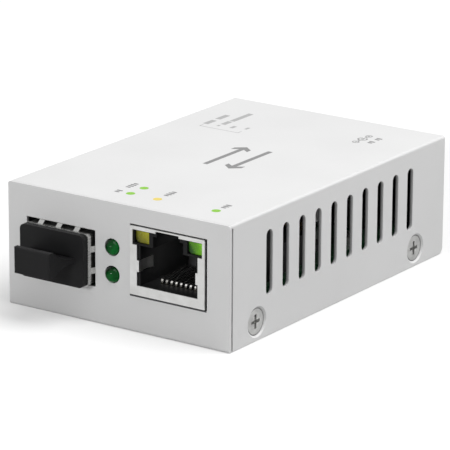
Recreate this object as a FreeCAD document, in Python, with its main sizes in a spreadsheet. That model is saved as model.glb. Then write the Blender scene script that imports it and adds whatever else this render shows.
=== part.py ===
import FreeCAD, Part
import math
import os
import re
import Sketcher

# Fibre media converter: a folded sheet case (base tray and cover) round one board
# that carries an SFP cage, a shielded modular jack, two lamps and a DC inlet.
# Frame: origin in the middle of the underside, X to the right seen from the front,
# Y from the front panel (-) to the rear panel (+), Z up. Millimetres.

SIZES = {
    # case
    "case_width": 48.0, "case_depth": 71.0, "case_height": 23.0,
    "sheet": 0.6, "bend_radius": 0.45, "seam_gap": 0.4, "top_seam": 0.05, "cover_fit": 0.1,
    "rear_corner_radius": 1.3, "bend_relief": 0.5,
    # cooling slots in the cover's sides
    "slot_count": 10, "slot_pitch": 5.18, "slot_length": 11.9, "slot_width": 2.0, "slot_centre": 13.55,
    # cover screws, seated in pressed dimples over tapped tabs
    "screw_from_front": 8.5, "screw_from_rear": 9.9, "screw_level": 3.5,
    "head_diameter": 5.0, "thread_diameter": 2.5, "head_sink": 0.35, "screw_length": 3.0,
    "dimple_rim": 0.6, "dimple_hole": 3.0, "recess_arm": 2.6, "recess_width": 0.6,
    "recess_depth": 0.8, "tab_width": 9.0, "tab_height": 6.4, "thread_fit": 0.1,
    # board and what carries it
    "board_thickness": 1.6, "board_underside": 5.45, "board_width": 40.8, "board_end_gap": 1.0,
    "standoff_flats": 4.5, "board_hole": 2.9, "pan_diameter": 4.4,
    "pan_height": 1.5, "board_screw_length": 5.2,
    "post_front_x": -1.1, "post_front_y": -18.0, "post_side_x": 17.6, "post_side_y": 12.0,
    "post_rear_x": -17.6, "post_rear_y": 30.0, "post_inner_x": 3.6, "post_inner_y": 30.0,
    # SFP port
    "sfp_centre_x": -12.3, "sfp_centre_z": 11.8, "sfp_opening_width": 15.2, "sfp_opening_z": 11.95,
    "sfp_opening_height": 10.45, "cage_width": 14.0, "cage_height": 9.3, "cage_length": 48.8,
    "cage_wall": 0.25, "cage_corner": 0.5, "cage_reach": 1.55, "cage_pin_width": 0.9,
    "cage_pin_count": 5, "cage_pin_pitch": 9.0, "cage_pin_start": 5.0, "pin_tip": 1.0,
    "pin_hole_fit": 0.15, "latch_window_width": 2.4, "latch_window_length": 3.0,
    "latch_window_setback": 5.0, "collar_sheet": 0.12, "collar_band": 0.9, "finger_width": 1.1,
    "finger_crest": 0.9, "finger_end_gap": 0.1, "finger_spread": 3.95, "finger_spread_side": 1.975,
    "finger_edge_gap": 0.03, "connector_width": 11.6, "connector_height": 6.2, "connector_length": 8.6,
    "connector_back_gap": 0.6, "card_slot_width": 10.0, "card_slot_height": 1.9,
    "card_slot_depth": 6.5, "sfp_contact_count": 10, "sfp_contact_pitch": 0.8,
    "sfp_contact_width": 0.35, "sfp_contact_sheet": 0.2, "sfp_tail_length": 1.2,
    # dust plug in the SFP port
    "plug_plate_width": 14.0, "plug_plate_height": 9.7, "plug_plate_thickness": 1.2,
    "plug_corner": 1.0, "plug_gap": 0.05, "plug_fit": 0.15, "plug_insert_length": 12.0,
    "plug_wall": 0.9, "grip_length": 5.75, "grip_width": 7.9, "grip_height": 4.9, "grip_corner": 0.7,
    "grip_root_width": 10.4, "grip_root_height": 0.9, "grip_lip": 1.1, "grip_edge": 0.35,
    # modular jack
    "jack_centre_x": 11.0, "jack_opening_fit": 0.2, "jack_opening_fit_right": 0.32,
    "jack_width": 15.9, "jack_height": 12.6,
    "jack_length": 21.3, "jack_reach": 0.3, "shield_sheet": 0.25, "shield_bend": 0.3,
    "insert_fit": 0.1, "mouth_width": 12.95, "mouth_floor": 1.77, "lamp_zone_width": 14.8,
    "lamp_zone_floor": 9.2, "lamp_zone_top": 11.95, "notch_width": 4.9, "notch_top": 12.35,
    "side_spring_reach": 0.45, "side_spring_low": 4.3, "side_spring_high": 6.4, "spring_bow": 0.3,
    "spring_bow_setback": 3.0, "spring_tip": 0.1, "spring_tongue": 4.25,
    "port_width": 11.9, "port_floor": 1.8, "port_top": 9.1, "port_depth": 14.6,
    "latch_way_width": 6.4, "latch_way_top": 11.2, "latch_way_depth": 11.0,
    "contact_count": 8, "contact_pitch": 1.02, "contact_width": 0.4, "contact_sheet": 0.3, "contact_slot": 0.62,
    "contact_slot_depth": 0.8, "contact_setback": 3.4, "contact_run": 7.2, "contact_rise": 2.5,
    "contact_nose": 0.85,
    "contact_tail_setback": 0.45, "shield_peg_width": 1.5, "shield_peg_setback": 12.0,
    "lens_width": 3.05, "lens_height": 2.2, "lens_length": 9.0, "lens_side_gap": 0.25,
    "lens_floor": 9.5, "lens_setback": 0.8, "lens_fit": 0.05,
    "lens_corner": 0.7,
    # panel lamps
    "lamp_x": -1.0, "lamp_upper_z": 14.75, "lamp_lower_z": 9.75, "lamp_diameter": 3.0,
    "lamp_hole": 3.2, "lamp_reach": 1.1, "lamp_body_length": 4.2, "lead_wire": 0.45, "lead_spacing": 2.0, "lead_run_upper": 3.6,
    "lead_run_lower": 2.2, "holder_width": 4.4, "holder_front_gap": 0.15, "holder_length": 3.6,
    "holder_roof": 1.0, "holder_fit": 0.05,
    # DC inlet
    "inlet_x": 13.0, "inlet_width": 9.0, "inlet_height": 10.6, "inlet_length": 14.4,
    "inlet_axis": 6.1, "inlet_bore": 6.4, "inlet_bore_depth": 9.6, "inlet_flange": 3.3,
    "inlet_waist": 0.4, "inlet_panel_hole": 8.4, "inlet_gap": 0.1, "inlet_pin": 2.1,
    "inlet_pin_setback": 1.2, "tail_width": 2.4, "tail_sheet": 0.8, "spring_width": 2.6,
    "spring_sheet": 0.3, "spring_setback": 3.0, "tail_fit": 0.2,
    # parts on the board
    "chip_x": 3.4, "chip_y": 5.0, "chip_side": 10.0, "chip_height": 1.4, "chip_lift": 0.1,
    "chip_bevel": 0.2, "lead_count": 12, "lead_pitch": 0.65, "lead_width": 0.26,
    "lead_reach": 1.0, "lead_sheet": 0.15,
    "transformer_x": 12.0, "transformer_y": -7.0, "transformer_width": 12.7,
    "transformer_depth": 9.6, "transformer_height": 5.6,
    "crystal_x": -1.0, "crystal_y": -8.0, "crystal_length": 11.0, "crystal_width": 4.6,
    "crystal_height": 3.5, "crystal_rim": 0.35, "crystal_rim_height": 0.45,
    "can_diameter": 6.3, "can_height": 7.7, "can_pitch": 7.4, "can_count": 2, "can_x": -3.0,
    "can_row": 19.0, "can_gap": 0.5, "can_base": 6.6, "can_base_height": 0.9, "can_edge": 0.4,
    "inductor_x": -12.0, "inductor_share": 0.6667, "inductor_side": 6.6, "inductor_height": 3.0,
    "inductor_corner": 1.2, "inductor_well": 4.8, "inductor_well_depth": 0.4,
    "regulator_x": -8.5, "regulator_y": 28.5, "regulator_width": 6.5, "regulator_depth": 3.5,
    "regulator_height": 1.6, "regulator_tab_width": 3.0, "regulator_tab_length": 1.8,
    "regulator_lead_width": 0.7, "regulator_lead_pitch": 2.3, "regulator_lead_length": 1.5,
    "regulator_lead_sheet": 0.3, "memory_x": 14.0, "memory_y": 4.4, "memory_width": 4.9,
    "memory_depth": 3.9, "memory_height": 1.4, "memory_notch": 0.8,
    "chip_part_length": 2.0, "chip_part_width": 1.25, "chip_part_height": 0.55,
    "chip_part_pitch": 2.4, "chip_part_count": 5, "chip_row_x": -3.0, "chip_row_y": 13.2,
}

# Places that several pieces share, each built from the sizes above.
PLACES = {
    "front_face": "-case_depth / 2",
    "rear_face": "case_depth / 2",
    "rear_panel_top": "case_height - sheet - cover_fit",
    "tray_half": "case_width / 2 - sheet - cover_fit",
    "board_top": "board_underside + board_thickness",
    "board_front": "front_face + sheet + board_end_gap",
    "board_rear": "rear_face - sheet - board_end_gap",
    "dimple_reach": "head_sink + (head_diameter - thread_diameter) / 2",
    "tab_face": "case_width / 2 - dimple_reach",
    "screw_front_y": "front_face + screw_from_front",
    "screw_rear_y": "rear_face - screw_from_rear",
    "thread_hole": "thread_diameter + thread_fit",
    "cage_mouth": "front_face - cage_reach",
    "cage_rear": "cage_mouth + cage_length",
    "can_y": "max(can_row; cage_rear + can_gap + can_base / 2)",
    "regulator_leads": "regulator_y - regulator_depth / 2 - regulator_lead_length",
    "inductor_room": "regulator_leads - cage_rear - inductor_side",
    "inductor_y": "cage_rear + inductor_room * inductor_share + inductor_side / 2",
    "connector_back": "cage_length - cage_wall - connector_back_gap",
    "jack_face": "front_face - jack_reach",
    "insert_half": "jack_width / 2 - shield_sheet - insert_fit",
    "insert_top": "jack_height - shield_sheet - insert_fit",
    "insert_front": "shield_sheet + insert_fit",
    "insert_back": "jack_length - shield_sheet - insert_fit",
    "contact_back": "insert_front + port_depth",
    "contact_floor": "port_floor - contact_slot_depth",
    "lens_centre": "lamp_zone_width / 2 - lens_side_gap - lens_width / 2",
    "panel_back": "front_face + sheet",
    "lamp_rear": "panel_back + lamp_body_length",
    "holder_front": "panel_back + holder_front_gap",
    "inlet_face": "rear_face - sheet - inlet_gap",
}

ORIGIN_PLANES = {"top": "XY_Plane", "front": "XZ_Plane", "side": "YZ_Plane"}

doc = FreeCAD.newDocument("fibre_media_converter")
sheet = doc.addObject("Spreadsheet::Sheet", "sizes")
for row_number, (alias, size) in enumerate(SIZES.items(), 1):
    sheet.set("A%d" % row_number, alias.replace("_", " "))
    sheet.set("B%d" % row_number, str(size))
    sheet.setAlias("B%d" % row_number, alias)
doc.recompute()

pieces = []


def bound(text):
    """Expression with each place written out and each alias read from the sheet."""
    def resolve(match):
        word = match.group(0)
        if word in PLACES:
            return "(" + bound(PLACES[word]) + ")"
        return "sizes." + word if word in SIZES else word
    return re.sub(r"[a-z_]+", resolve, str(text))


def amount(text):
    """Present value of an expression."""
    result = sheet.evalExpression(bound(text))
    return float(getattr(result, "Value", result))


def bind(item, path, text):
    """Tie one property of an object to an expression."""
    item.setExpression(path, bound(text))


def new_piece(label, at=("0", "0", "0")):
    """Body for one sub-part; its own origin stands at the given place."""
    body = doc.addObject("PartDesign::Body", label)
    body.Label = label
    for axis, text in zip("xyz", at):
        bind(body, "Placement.Base." + axis, text)
    pieces.append(body)
    return body


def origin_item(body, role):
    """Origin plane or axis of a body."""
    return next(item for item in body.Origin.OriginFeatures if item.Role == role)


def sketch_on(body, plane, offset="0"):
    """Sketch parallel to one of the body's own origin planes.

    The offset runs up from the top plane, back (+Y) from the front plane and
    right (+X) from the side plane.
    """
    sketch = body.newObject("Sketcher::SketchObject", body.Name + "_sketch")
    sketch.AttachmentSupport = [(origin_item(body, ORIGIN_PLANES[plane]), "")]
    sketch.MapMode = "FlatFace"
    bind(sketch, "AttachmentOffset.Base.z", "-(%s)" % offset if plane == "front" else offset)
    return sketch


def pin_point(sketch, geometry, vertex, x, y):
    """Hold one point of a sketch at bound coordinates."""
    for kind, text in (("DistanceX", x), ("DistanceY", y)):
        number = sketch.addConstraint(Sketcher.Constraint(kind, -1, 1, geometry, vertex, amount(text)))
        bind(sketch, "Constraints[%d]" % number, text)


def outline(sketch, corners, arcs=None):
    """Closed outline through bound corners, straight except for the numbered arcs.

    An arc runs from its corner to the next about a centre; "x" or "y" says which
    coordinate of that centre is held, since the two corners settle the other.
    """
    arcs = arcs or {}
    points = [FreeCAD.Vector(amount(x), amount(y), 0) for x, y in corners]
    total = len(points)
    ends = []
    for index, start in enumerate(points):
        finish = points[(index + 1) % total]
        if index not in arcs:
            number = sketch.addGeometry(Part.LineSegment(start, finish), False)
            ends.append((number, 1, 2))
            continue
        centre_x, centre_y, held, turn = arcs[index]
        centre = FreeCAD.Vector(amount(centre_x), amount(centre_y), 0)
        ring = Part.Circle(centre, FreeCAD.Vector(0, 0, 1), (start - centre).Length)
        angles = [math.atan2(point.y - centre.y, point.x - centre.x) for point in (start, finish)]
        if turn == "left":
            number = sketch.addGeometry(Part.ArcOfCircle(ring, angles[0], angles[1]), False)
            ends.append((number, 1, 2))
        else:
            number = sketch.addGeometry(Part.ArcOfCircle(ring, angles[1], angles[0]), False)
            ends.append((number, 2, 1))
        kind, text = ("DistanceX", centre_x) if held == "x" else ("DistanceY", centre_y)
        rule = sketch.addConstraint(Sketcher.Constraint(kind, -1, 1, number, 3, amount(text)))
        bind(sketch, "Constraints[%d]" % rule, text)
    for index, (number, start, finish) in enumerate(ends):
        following, next_start, _ = ends[(index + 1) % total]
        sketch.addConstraint(Sketcher.Constraint("Coincident", number, finish, following, next_start))
        pin_point(sketch, number, start, *corners[index])


def rectangle(sketch, left, right, low, high):
    """Upright rectangle between bound edges."""
    outline(sketch, [(left, low), (right, low), (right, high), (left, high)])


def circle(sketch, x, y, diameter):
    """Circle with a bound centre and diameter."""
    centre = FreeCAD.Vector(amount(x), amount(y), 0)
    number = sketch.addGeometry(Part.Circle(centre, FreeCAD.Vector(0, 0, 1), amount(diameter) / 2), False)
    pin_point(sketch, number, 3, x, y)
    rule = sketch.addConstraint(Sketcher.Constraint("Diameter", number, amount(diameter)))
    bind(sketch, "Constraints[%d]" % rule, diameter)


def upright_slot(sketch, x, y, length, width):
    """Slot with round ends, long way up."""
    radius, reach = "(%s) / 2" % width, "((%s) - (%s)) / 2" % (length, width)
    half, run, middle, level = amount(radius), amount(reach), amount(x), amount(y)
    up = FreeCAD.Vector(0, 0, 1)
    high, low = FreeCAD.Vector(middle, level + run, 0), FreeCAD.Vector(middle, level - run, 0)
    top = sketch.addGeometry(Part.ArcOfCircle(Part.Circle(high, up, half), 0, math.pi), False)
    bottom = sketch.addGeometry(
        Part.ArcOfCircle(Part.Circle(low, up, half), math.pi, 2 * math.pi), False)
    across = FreeCAD.Vector(half, 0, 0)
    left = sketch.addGeometry(Part.LineSegment(high - across, low - across), False)
    right = sketch.addGeometry(Part.LineSegment(low + across, high + across), False)
    for one, end, other, start in ((top, 2, left, 1), (left, 2, bottom, 1), (bottom, 2, right, 1),
                                   (right, 2, top, 1)):
        sketch.addConstraint(Sketcher.Constraint("Tangent", one, end, other, start))
    pin_point(sketch, top, 3, x, "%s + %s" % (y, reach))
    pin_point(sketch, bottom, 3, x, "%s - %s" % (y, reach))
    rule = sketch.addConstraint(Sketcher.Constraint("Radius", top, half))
    bind(sketch, "Constraints[%d]" % rule, radius)


def feature(body, kind, sketch, length, reverse, both):
    """Sketch-based feature of a bound length."""
    item = body.newObject("PartDesign::" + kind, body.Name + "_" + kind.lower())
    item.Profile = sketch
    if length is None:
        item.Type = "ThroughAll"
    else:
        bind(item, "Length", length)
    item.Reversed = reverse
    item.Midplane = both
    sketch.Visibility = False
    doc.recompute()
    return item


def pad(body, sketch, length, reverse=False, both=False):
    """Material along the sketch normal; reverse goes the other way."""
    return feature(body, "Pad", sketch, length, reverse, both)


def pocket(body, sketch, length=None, reverse=False, both=False):
    """Cut against the sketch normal, through all where no length is given."""
    return feature(body, "Pocket", sketch, length, reverse, both)


def block(body, left, right, front, rear, low, high, cut=False):
    """Rectangular pad or pocket between bound faces."""
    sketch = sketch_on(body, "top", low)
    rectangle(sketch, left, right, front, rear)
    height = "(%s) - (%s)" % (high, low)
    return pocket(body, sketch, height, reverse=True) if cut else pad(body, sketch, height)


def edges_of(shape, along, test):
    """Names of the straight edges along an axis whose middle passes a test."""
    names = []
    for number, edge in enumerate(shape.Edges, 1):
        if edge.Curve.TypeId != "Part::GeomLine":
            continue
        direction = edge.tangentAt(edge.FirstParameter)
        if abs(getattr(direction, along)) > 0.999 and test(edge.CenterOfMass):
            names.append("Edge%d" % number)
    return names


def dress(body, kind, base, property_name, text, names):
    """Fillet or chamfer on named edges of the last feature."""
    item = body.newObject("PartDesign::" + kind, body.Name + "_" + kind.lower())
    item.Base = (base, names)
    bind(item, property_name, text)
    doc.recompute()
    return item


def fillet(body, base, radius, along, test):
    """Round the straight edges along an axis that pass a test."""
    return dress(body, "Fillet", base, "Radius", radius, edges_of(base.Shape, along, test))


def chamfer(body, base, size, along, test):
    """Bevel the straight edges along an axis that pass a test."""
    return dress(body, "Chamfer", base, "Size", size, edges_of(base.Shape, along, test))


def row_of(body, originals, axis, pitch, count):
    """Linear pattern along one of the body's axes."""
    item = body.newObject("PartDesign::LinearPattern", body.Name + "_row")
    item.Originals = originals
    item.Direction = (origin_item(body, axis), [""])
    bind(item, "Occurrences", count)
    bind(item, "Length", "(%s) * (%s - 1)" % (pitch, count))
    body.Tip = item
    doc.recompute()
    return item


def turned(body, plane, offset, corners, axis, cut=False):
    """Revolution or groove of a bound outline about a sketch axis."""
    sketch = sketch_on(body, plane, offset)
    outline(sketch, corners)
    kind = "Groove" if cut else "Revolution"
    item = body.newObject("PartDesign::" + kind, body.Name + "_" + kind.lower())
    item.Profile = sketch
    item.ReferenceAxis = (sketch, [axis])
    item.Angle = 360
    sketch.Visibility = False
    doc.recompute()
    return item


def near(one, other):
    """True where two lengths are the same."""
    return abs(one - other) < 1e-4


def taper(body, x, y, z, wide, narrow, length, facing, cut=False):
    """Cone or cylinder along X that starts at a bound point and faces +1 or -1."""
    item = body.newObject("PartDesign::%sCone" % ("Subtractive" if cut else "Additive"), body.Name + "_cone")
    item.Placement = FreeCAD.Placement(
        FreeCAD.Vector(), FreeCAD.Rotation(FreeCAD.Vector(0, 0, 1), FreeCAD.Vector(facing, 0, 0)))
    for axis, text in zip("xyz", (x, y, z)):
        bind(item, "Placement.Base." + axis, text)
    bind(item, "Radius1", wide)
    bind(item, "Radius2", narrow)
    bind(item, "Height", length)
    doc.recompute()
    return item


def drum(body, x, y, z, radius, length, facing, cut=False):
    """Cylinder along X that starts at a bound point and faces +1 or -1."""
    item = body.newObject("PartDesign::%sCylinder" % ("Subtractive" if cut else "Additive"),
                          body.Name + "_drum")
    item.Placement = FreeCAD.Placement(
        FreeCAD.Vector(), FreeCAD.Rotation(FreeCAD.Vector(0, 0, 1), FreeCAD.Vector(facing, 0, 0)))
    for axis, text in zip("xyz", (x, y, z)):
        bind(item, "Placement.Base." + axis, text)
    bind(item, "Radius", radius)
    bind(item, "Height", length)
    doc.recompute()
    return item


def shifted(corners, x, y):
    """Corners moved to a bound centre."""
    return [("%s + %s" % (x, across), "%s + %s" % (y, along)) for across, along in corners]


def cross_shape(x, y):
    """Outline of a cross recess about a bound centre."""
    arm, web = "recess_arm / 2", "recess_width / 2"
    corners = [(web, arm), ("-" + web, arm), ("-" + web, web), ("-" + arm, web), ("-" + arm, "-" + web),
               ("-" + web, "-" + web), ("-" + web, "-" + arm), (web, "-" + arm), (web, "-" + web),
               (arm, "-" + web), (arm, web), (web, web)]
    return shifted(corners, x, y)


SIDES = (("", -1), ("-1 * ", 1))
SCREW_ROWS = ("screw_front_y", "screw_rear_y")
POSTS = (("post_front_x", "post_front_y"), ("post_side_x", "post_side_y"),
         ("post_rear_x", "post_rear_y"), ("post_inner_x", "post_inner_y"))
PIN_BOTTOM = "board_underside - pin_tip"

# Cover: one sheet folded into a top and two sides.
cover = new_piece("cover")
cover_profile = sketch_on(cover, "front", "front_face")
outline(cover_profile, [
    ("-case_width / 2", "cover_fit"), ("-case_width / 2", "case_height"),
    ("case_width / 2", "case_height"), ("case_width / 2", "cover_fit"),
    ("case_width / 2 - sheet", "cover_fit"), ("case_width / 2 - sheet", "case_height - sheet"),
    ("sheet - case_width / 2", "case_height - sheet"), ("sheet - case_width / 2", "cover_fit")])
cover_fold = pad(cover, cover_profile, "case_depth", reverse=True)
fillet(cover, cover_fold, "bend_radius", "y", lambda middle: near(middle.z, amount("case_height")))
block(cover, "-case_width / 2", "case_width / 2", "front_face", "front_face + sheet + top_seam",
      "cover_fit", "case_height", cut=True)
cover_seam = block(cover, "-case_width / 2", "case_width / 2", "front_face",
                   "front_face + sheet + seam_gap", "cover_fit", "case_height - sheet", cut=True)
fillet(cover, cover_seam, "rear_corner_radius", "x",
       lambda middle: near(middle.z, amount("cover_fit")) and near(middle.y, amount("rear_face")))
slot_sketch = sketch_on(cover, "side")
upright_slot(slot_sketch, "-slot_pitch * (slot_count - 1) / 2", "slot_centre", "slot_length", "slot_width")
slot_cut = pocket(cover, slot_sketch, both=True)
row_of(cover, [slot_cut], "Y_Axis", "slot_pitch", "slot_count")
for level_y in SCREW_ROWS:
    for side, facing in SIDES:
        drum(cover, side + "(case_width / 2 - sheet / 2)", level_y, "screw_level",
             "head_diameter / 2 + head_sink + dimple_rim", "dimple_reach - sheet / 2", facing)
        taper(cover, side + "case_width / 2", level_y, "screw_level", "head_diameter / 2 + head_sink",
              "dimple_hole / 2", "head_sink + (head_diameter - dimple_hole) / 2", facing, cut=True)
        drum(cover, side + "case_width / 2", level_y, "screw_level", "dimple_hole / 2",
             "dimple_reach", facing, cut=True)

# Base: one sheet folded into a floor, a full-width front panel and a rear panel.
base = new_piece("base")
tray_profile = sketch_on(base, "side")
outline(tray_profile, [
    ("front_face", "0"), ("rear_face", "0"), ("rear_face", "rear_panel_top"),
    ("rear_face - sheet", "rear_panel_top"), ("rear_face - sheet", "sheet"),
    ("front_face + sheet", "sheet"), ("front_face + sheet", "case_height"),
    ("front_face", "case_height")])
tray_fold = pad(base, tray_profile, "case_width", both=True)
tray_bends = fillet(base, tray_fold, "bend_radius", "x", lambda middle: near(middle.z, 0))
fillet(base, tray_bends, "bend_radius", "y", lambda middle: near(middle.z, amount("case_height")))
for side, facing in SIDES:
    block(base, side + "tray_half", side + "(case_width / 2 + sheet)", "front_face + sheet",
          "rear_face + sheet", "-sheet", "case_height", cut=True)
panel_cuts = sketch_on(base, "front", "front_face")
rectangle(panel_cuts, "sfp_centre_x - sfp_opening_width / 2", "sfp_centre_x + sfp_opening_width / 2",
          "sfp_opening_z - sfp_opening_height / 2", "sfp_opening_z + sfp_opening_height / 2")
rectangle(panel_cuts, "jack_centre_x - jack_width / 2 - jack_opening_fit",
          "jack_centre_x + jack_width / 2 + jack_opening_fit_right",
          "board_top - jack_opening_fit", "board_top + jack_height + jack_opening_fit")
circle(panel_cuts, "lamp_x", "lamp_upper_z", "lamp_hole")
circle(panel_cuts, "lamp_x", "lamp_lower_z", "lamp_hole")
pocket(base, panel_cuts, "sheet")
inlet_cut = sketch_on(base, "front", "rear_face - sheet")
circle(inlet_cut, "inlet_x", "board_top + inlet_axis", "inlet_panel_hole")
pocket(base, inlet_cut, "sheet")
for level_y in SCREW_ROWS:
    for side, facing in SIDES:
        block(base, side + "(tab_face - bend_radius - bend_relief)", side + "(tray_half + cover_fit)",
              level_y + " - tab_width / 2 - bend_relief", level_y + " + tab_width / 2 + bend_relief",
              "0", "sheet", cut=True)
        tab = sketch_on(base, "front", level_y + " - tab_width / 2")
        outline(tab, [(side + "(%s)" % x, z) for x, z in (
            ("tab_face - bend_radius - bend_relief", "0"), ("tab_face", "0"),
            ("tab_face", "tab_height"), ("tab_face - sheet", "tab_height"),
            ("tab_face - sheet", "sheet"), ("tab_face - bend_radius - bend_relief", "sheet"))])
        pad(base, tab, "tab_width", reverse=True)
        drum(base, side + "tab_face", level_y, "screw_level", "thread_hole / 2", "sheet", facing,
             cut=True)
fillet(base, base.Tip, "bend_radius", "y",
       lambda middle: near(middle.z, 0) and near(abs(middle.x), amount("tab_face")))

# Countersunk cover screws.
cover_screws = new_piece("cover_screws")
for level_y in SCREW_ROWS:
    for side, facing in SIDES:
        taper(cover_screws, side + "(case_width / 2 - head_sink)", level_y, "screw_level",
              "head_diameter / 2", "thread_diameter / 2", "dimple_reach - head_sink", facing)
        drum(cover_screws, side + "tab_face", level_y, "screw_level", "thread_diameter / 2",
             "screw_length", facing)
        recess = sketch_on(cover_screws, "side", side + "(case_width / 2 - head_sink)")
        outline(recess, cross_shape(level_y, "screw_level"))
        pocket(cover_screws, recess, "recess_depth", reverse=facing > 0)

# Board with its holes.
board = new_piece("circuit_board")
block(board, "-board_width / 2", "board_width / 2", "board_front", "board_rear", "board_underside",
      "board_top")
post_holes = sketch_on(board, "top", "board_top")
for x, y in POSTS:
    circle(post_holes, x, y, "board_hole")
for x in ("lamp_x - lead_spacing / 2", "lamp_x + lead_spacing / 2"):
    for run in ("lead_run_upper", "lead_run_lower"):
        rectangle(post_holes, x + " - lead_wire / 2 - pin_hole_fit", x + " + lead_wire / 2 + pin_hole_fit",
                  "lamp_rear + %s - lead_wire - pin_hole_fit" % run,
                  "lamp_rear + %s + pin_hole_fit" % run)
for side in ("-", "+"):
    rectangle(post_holes,
              "jack_centre_x %s (jack_width / 2 - shield_sheet / 2) - shield_sheet / 2 - pin_hole_fit" % side,
              "jack_centre_x %s (jack_width / 2 - shield_sheet / 2) + shield_sheet / 2 + pin_hole_fit" % side,
              "jack_face + shield_peg_setback - shield_peg_width / 2 - pin_hole_fit",
              "jack_face + shield_peg_setback + shield_peg_width / 2 + pin_hole_fit")
rectangle(post_holes, "inlet_x - tail_width / 2 - tail_fit", "inlet_x + tail_width / 2 + tail_fit",
          "inlet_face - inlet_length - tail_sheet - tail_fit", "inlet_face - inlet_length + tail_fit")
rectangle(post_holes, "inlet_x - spring_width / 2 - tail_fit", "inlet_x + spring_width / 2 + tail_fit",
          "inlet_face - inlet_bore_depth - tail_fit",
          "inlet_face - inlet_bore_depth + spring_sheet + tail_fit")
pocket(board, post_holes, "board_thickness")
pin_holes = sketch_on(board, "top", "board_top")
for side in ("-", "+"):
    centre = "sfp_centre_x %s (cage_width - cage_wall) / 2" % side
    rectangle(pin_holes, centre + " - cage_wall / 2 - pin_hole_fit",
              centre + " + cage_wall / 2 + pin_hole_fit",
              "cage_mouth + cage_pin_start - cage_pin_width / 2 - pin_hole_fit",
              "cage_mouth + cage_pin_start + cage_pin_width / 2 + pin_hole_fit")
row_of(board, [pocket(board, pin_holes, "board_thickness")], "Y_Axis", "cage_pin_pitch", "cage_pin_count")
tail_hole = sketch_on(board, "top", "board_top")
FIRST_WIRE = "jack_centre_x - contact_pitch * (contact_count - 1) / 2"
WIRE_TAIL = "jack_face + contact_back + contact_tail_setback"
rectangle(tail_hole, FIRST_WIRE + " - contact_width / 2 - pin_hole_fit",
          FIRST_WIRE + " + contact_width / 2 + pin_hole_fit",
          WIRE_TAIL + " - contact_sheet / 2 - pin_hole_fit",
          WIRE_TAIL + " + contact_sheet / 2 + pin_hole_fit")
row_of(board, [pocket(board, tail_hole, "board_thickness")], "X_Axis", "contact_pitch", "contact_count")

# Hexagonal posts on the floor, and the pan-head screws that hold the board on them.
standoffs = new_piece("board_standoffs")
post_rings = sketch_on(standoffs, "top", "sheet")
board_screws = new_piece("board_screws")
shank_rings = sketch_on(board_screws, "top", "board_top - board_screw_length")
pan_rings = sketch_on(board_screws, "top", "board_top")
for x, y in POSTS:
    flat, point = "standoff_flats / 2", "standoff_flats / sqrt(3)"
    outline(post_rings, shifted([
        ("0", "-" + point), (flat, "-%s / 2" % point), (flat, "%s / 2" % point), ("0", point),
        ("-" + flat, "%s / 2" % point), ("-" + flat, "-%s / 2" % point)], x, y))
    circle(post_rings, x, y, "thread_hole")
    circle(shank_rings, x, y, "thread_diameter")
    circle(pan_rings, x, y, "pan_diameter")
pad(standoffs, post_rings, "board_underside - sheet")
pad(board_screws, shank_rings, "board_screw_length")
pad(board_screws, pan_rings, "pan_height")
drive = sketch_on(board_screws, "top", "board_top + pan_height")
for x, y in POSTS:
    outline(drive, cross_shape(x, y))
pocket(board_screws, drive, "recess_depth")

# SFP cage: a thin formed box, open at the mouth and under the connector.
SFP_PORT = ("sfp_centre_x", "cage_mouth", "sfp_centre_z")
cage = new_piece("sfp_cage", SFP_PORT)
cage_outer = sketch_on(cage, "front")
rectangle(cage_outer, "-cage_width / 2", "cage_width / 2", "-cage_height / 2", "cage_height / 2")
cage_block = pad(cage, cage_outer, "cage_length", reverse=True)
fillet(cage, cage_block, "cage_corner", "y", lambda middle: True)
cage_inner = sketch_on(cage, "front")
rectangle(cage_inner, "cage_wall - cage_width / 2", "cage_width / 2 - cage_wall",
          "cage_wall - cage_height / 2", "cage_height / 2 - cage_wall")
cage_bore = pocket(cage, cage_inner, "cage_length - cage_wall")
inner_half = amount("cage_width / 2 - cage_wall")
fillet(cage, cage_bore, "cage_corner - cage_wall", "y", lambda middle: near(abs(middle.x), inner_half))
block(cage, "-connector_width / 2 - card_slot_height / 4", "connector_width / 2 + card_slot_height / 4",
      "connector_back - connector_length - cage_wall", "cage_length + cage_wall",
      "-cage_height / 2", "-cage_height / 2 + cage_wall + cage_corner / 2", cut=True)
latch_cut = sketch_on(cage, "top", "-cage_height / 2 + cage_wall")
outline(latch_cut, [("-latch_window_width / 2", "latch_window_setback + latch_window_length"),
                    ("0", "latch_window_setback"),
                    ("latch_window_width / 2", "latch_window_setback + latch_window_length")])
pocket(cage, latch_cut, "cage_wall")
cage_pins = []
for offset in ("cage_width / 2 - cage_wall", "-cage_width / 2"):
    pin = sketch_on(cage, "side", offset)
    rectangle(pin, "cage_pin_start - cage_pin_width / 2", "cage_pin_start + cage_pin_width / 2",
              "board_underside - pin_tip - sfp_centre_z", "-cage_height / 2 + 2 * cage_corner")
    cage_pins.append(pad(cage, pin, "cage_wall"))
row_of(cage, cage_pins, "Y_Axis", "cage_pin_pitch", "cage_pin_count")

# Grounding collar: a band round the mouth with bowed fingers inside the panel opening.
collar = new_piece("sfp_spring_fingers", SFP_PORT)
band = sketch_on(collar, "front", "plug_gap")
rectangle(band, "-cage_width / 2 - collar_sheet", "cage_width / 2 + collar_sheet",
          "-cage_height / 2 - collar_sheet", "cage_height / 2 + collar_sheet")
pad(collar, band, "collar_band", reverse=True)
band_hole = sketch_on(collar, "front", "0")
rectangle(band_hole, "-cage_width / 2", "cage_width / 2", "-cage_height / 2", "cage_height / 2")
band_bore = pocket(collar, band_hole, "plug_gap + collar_band + cage_wall")
band_inner = fillet(collar, band_bore, "cage_corner", "y",
                    lambda middle: near(abs(middle.x), amount("cage_width / 2")))
fillet(collar, band_inner, "cage_corner + collar_sheet", "y",
       lambda middle: near(abs(middle.x), amount("cage_width / 2 + collar_sheet")))


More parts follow.
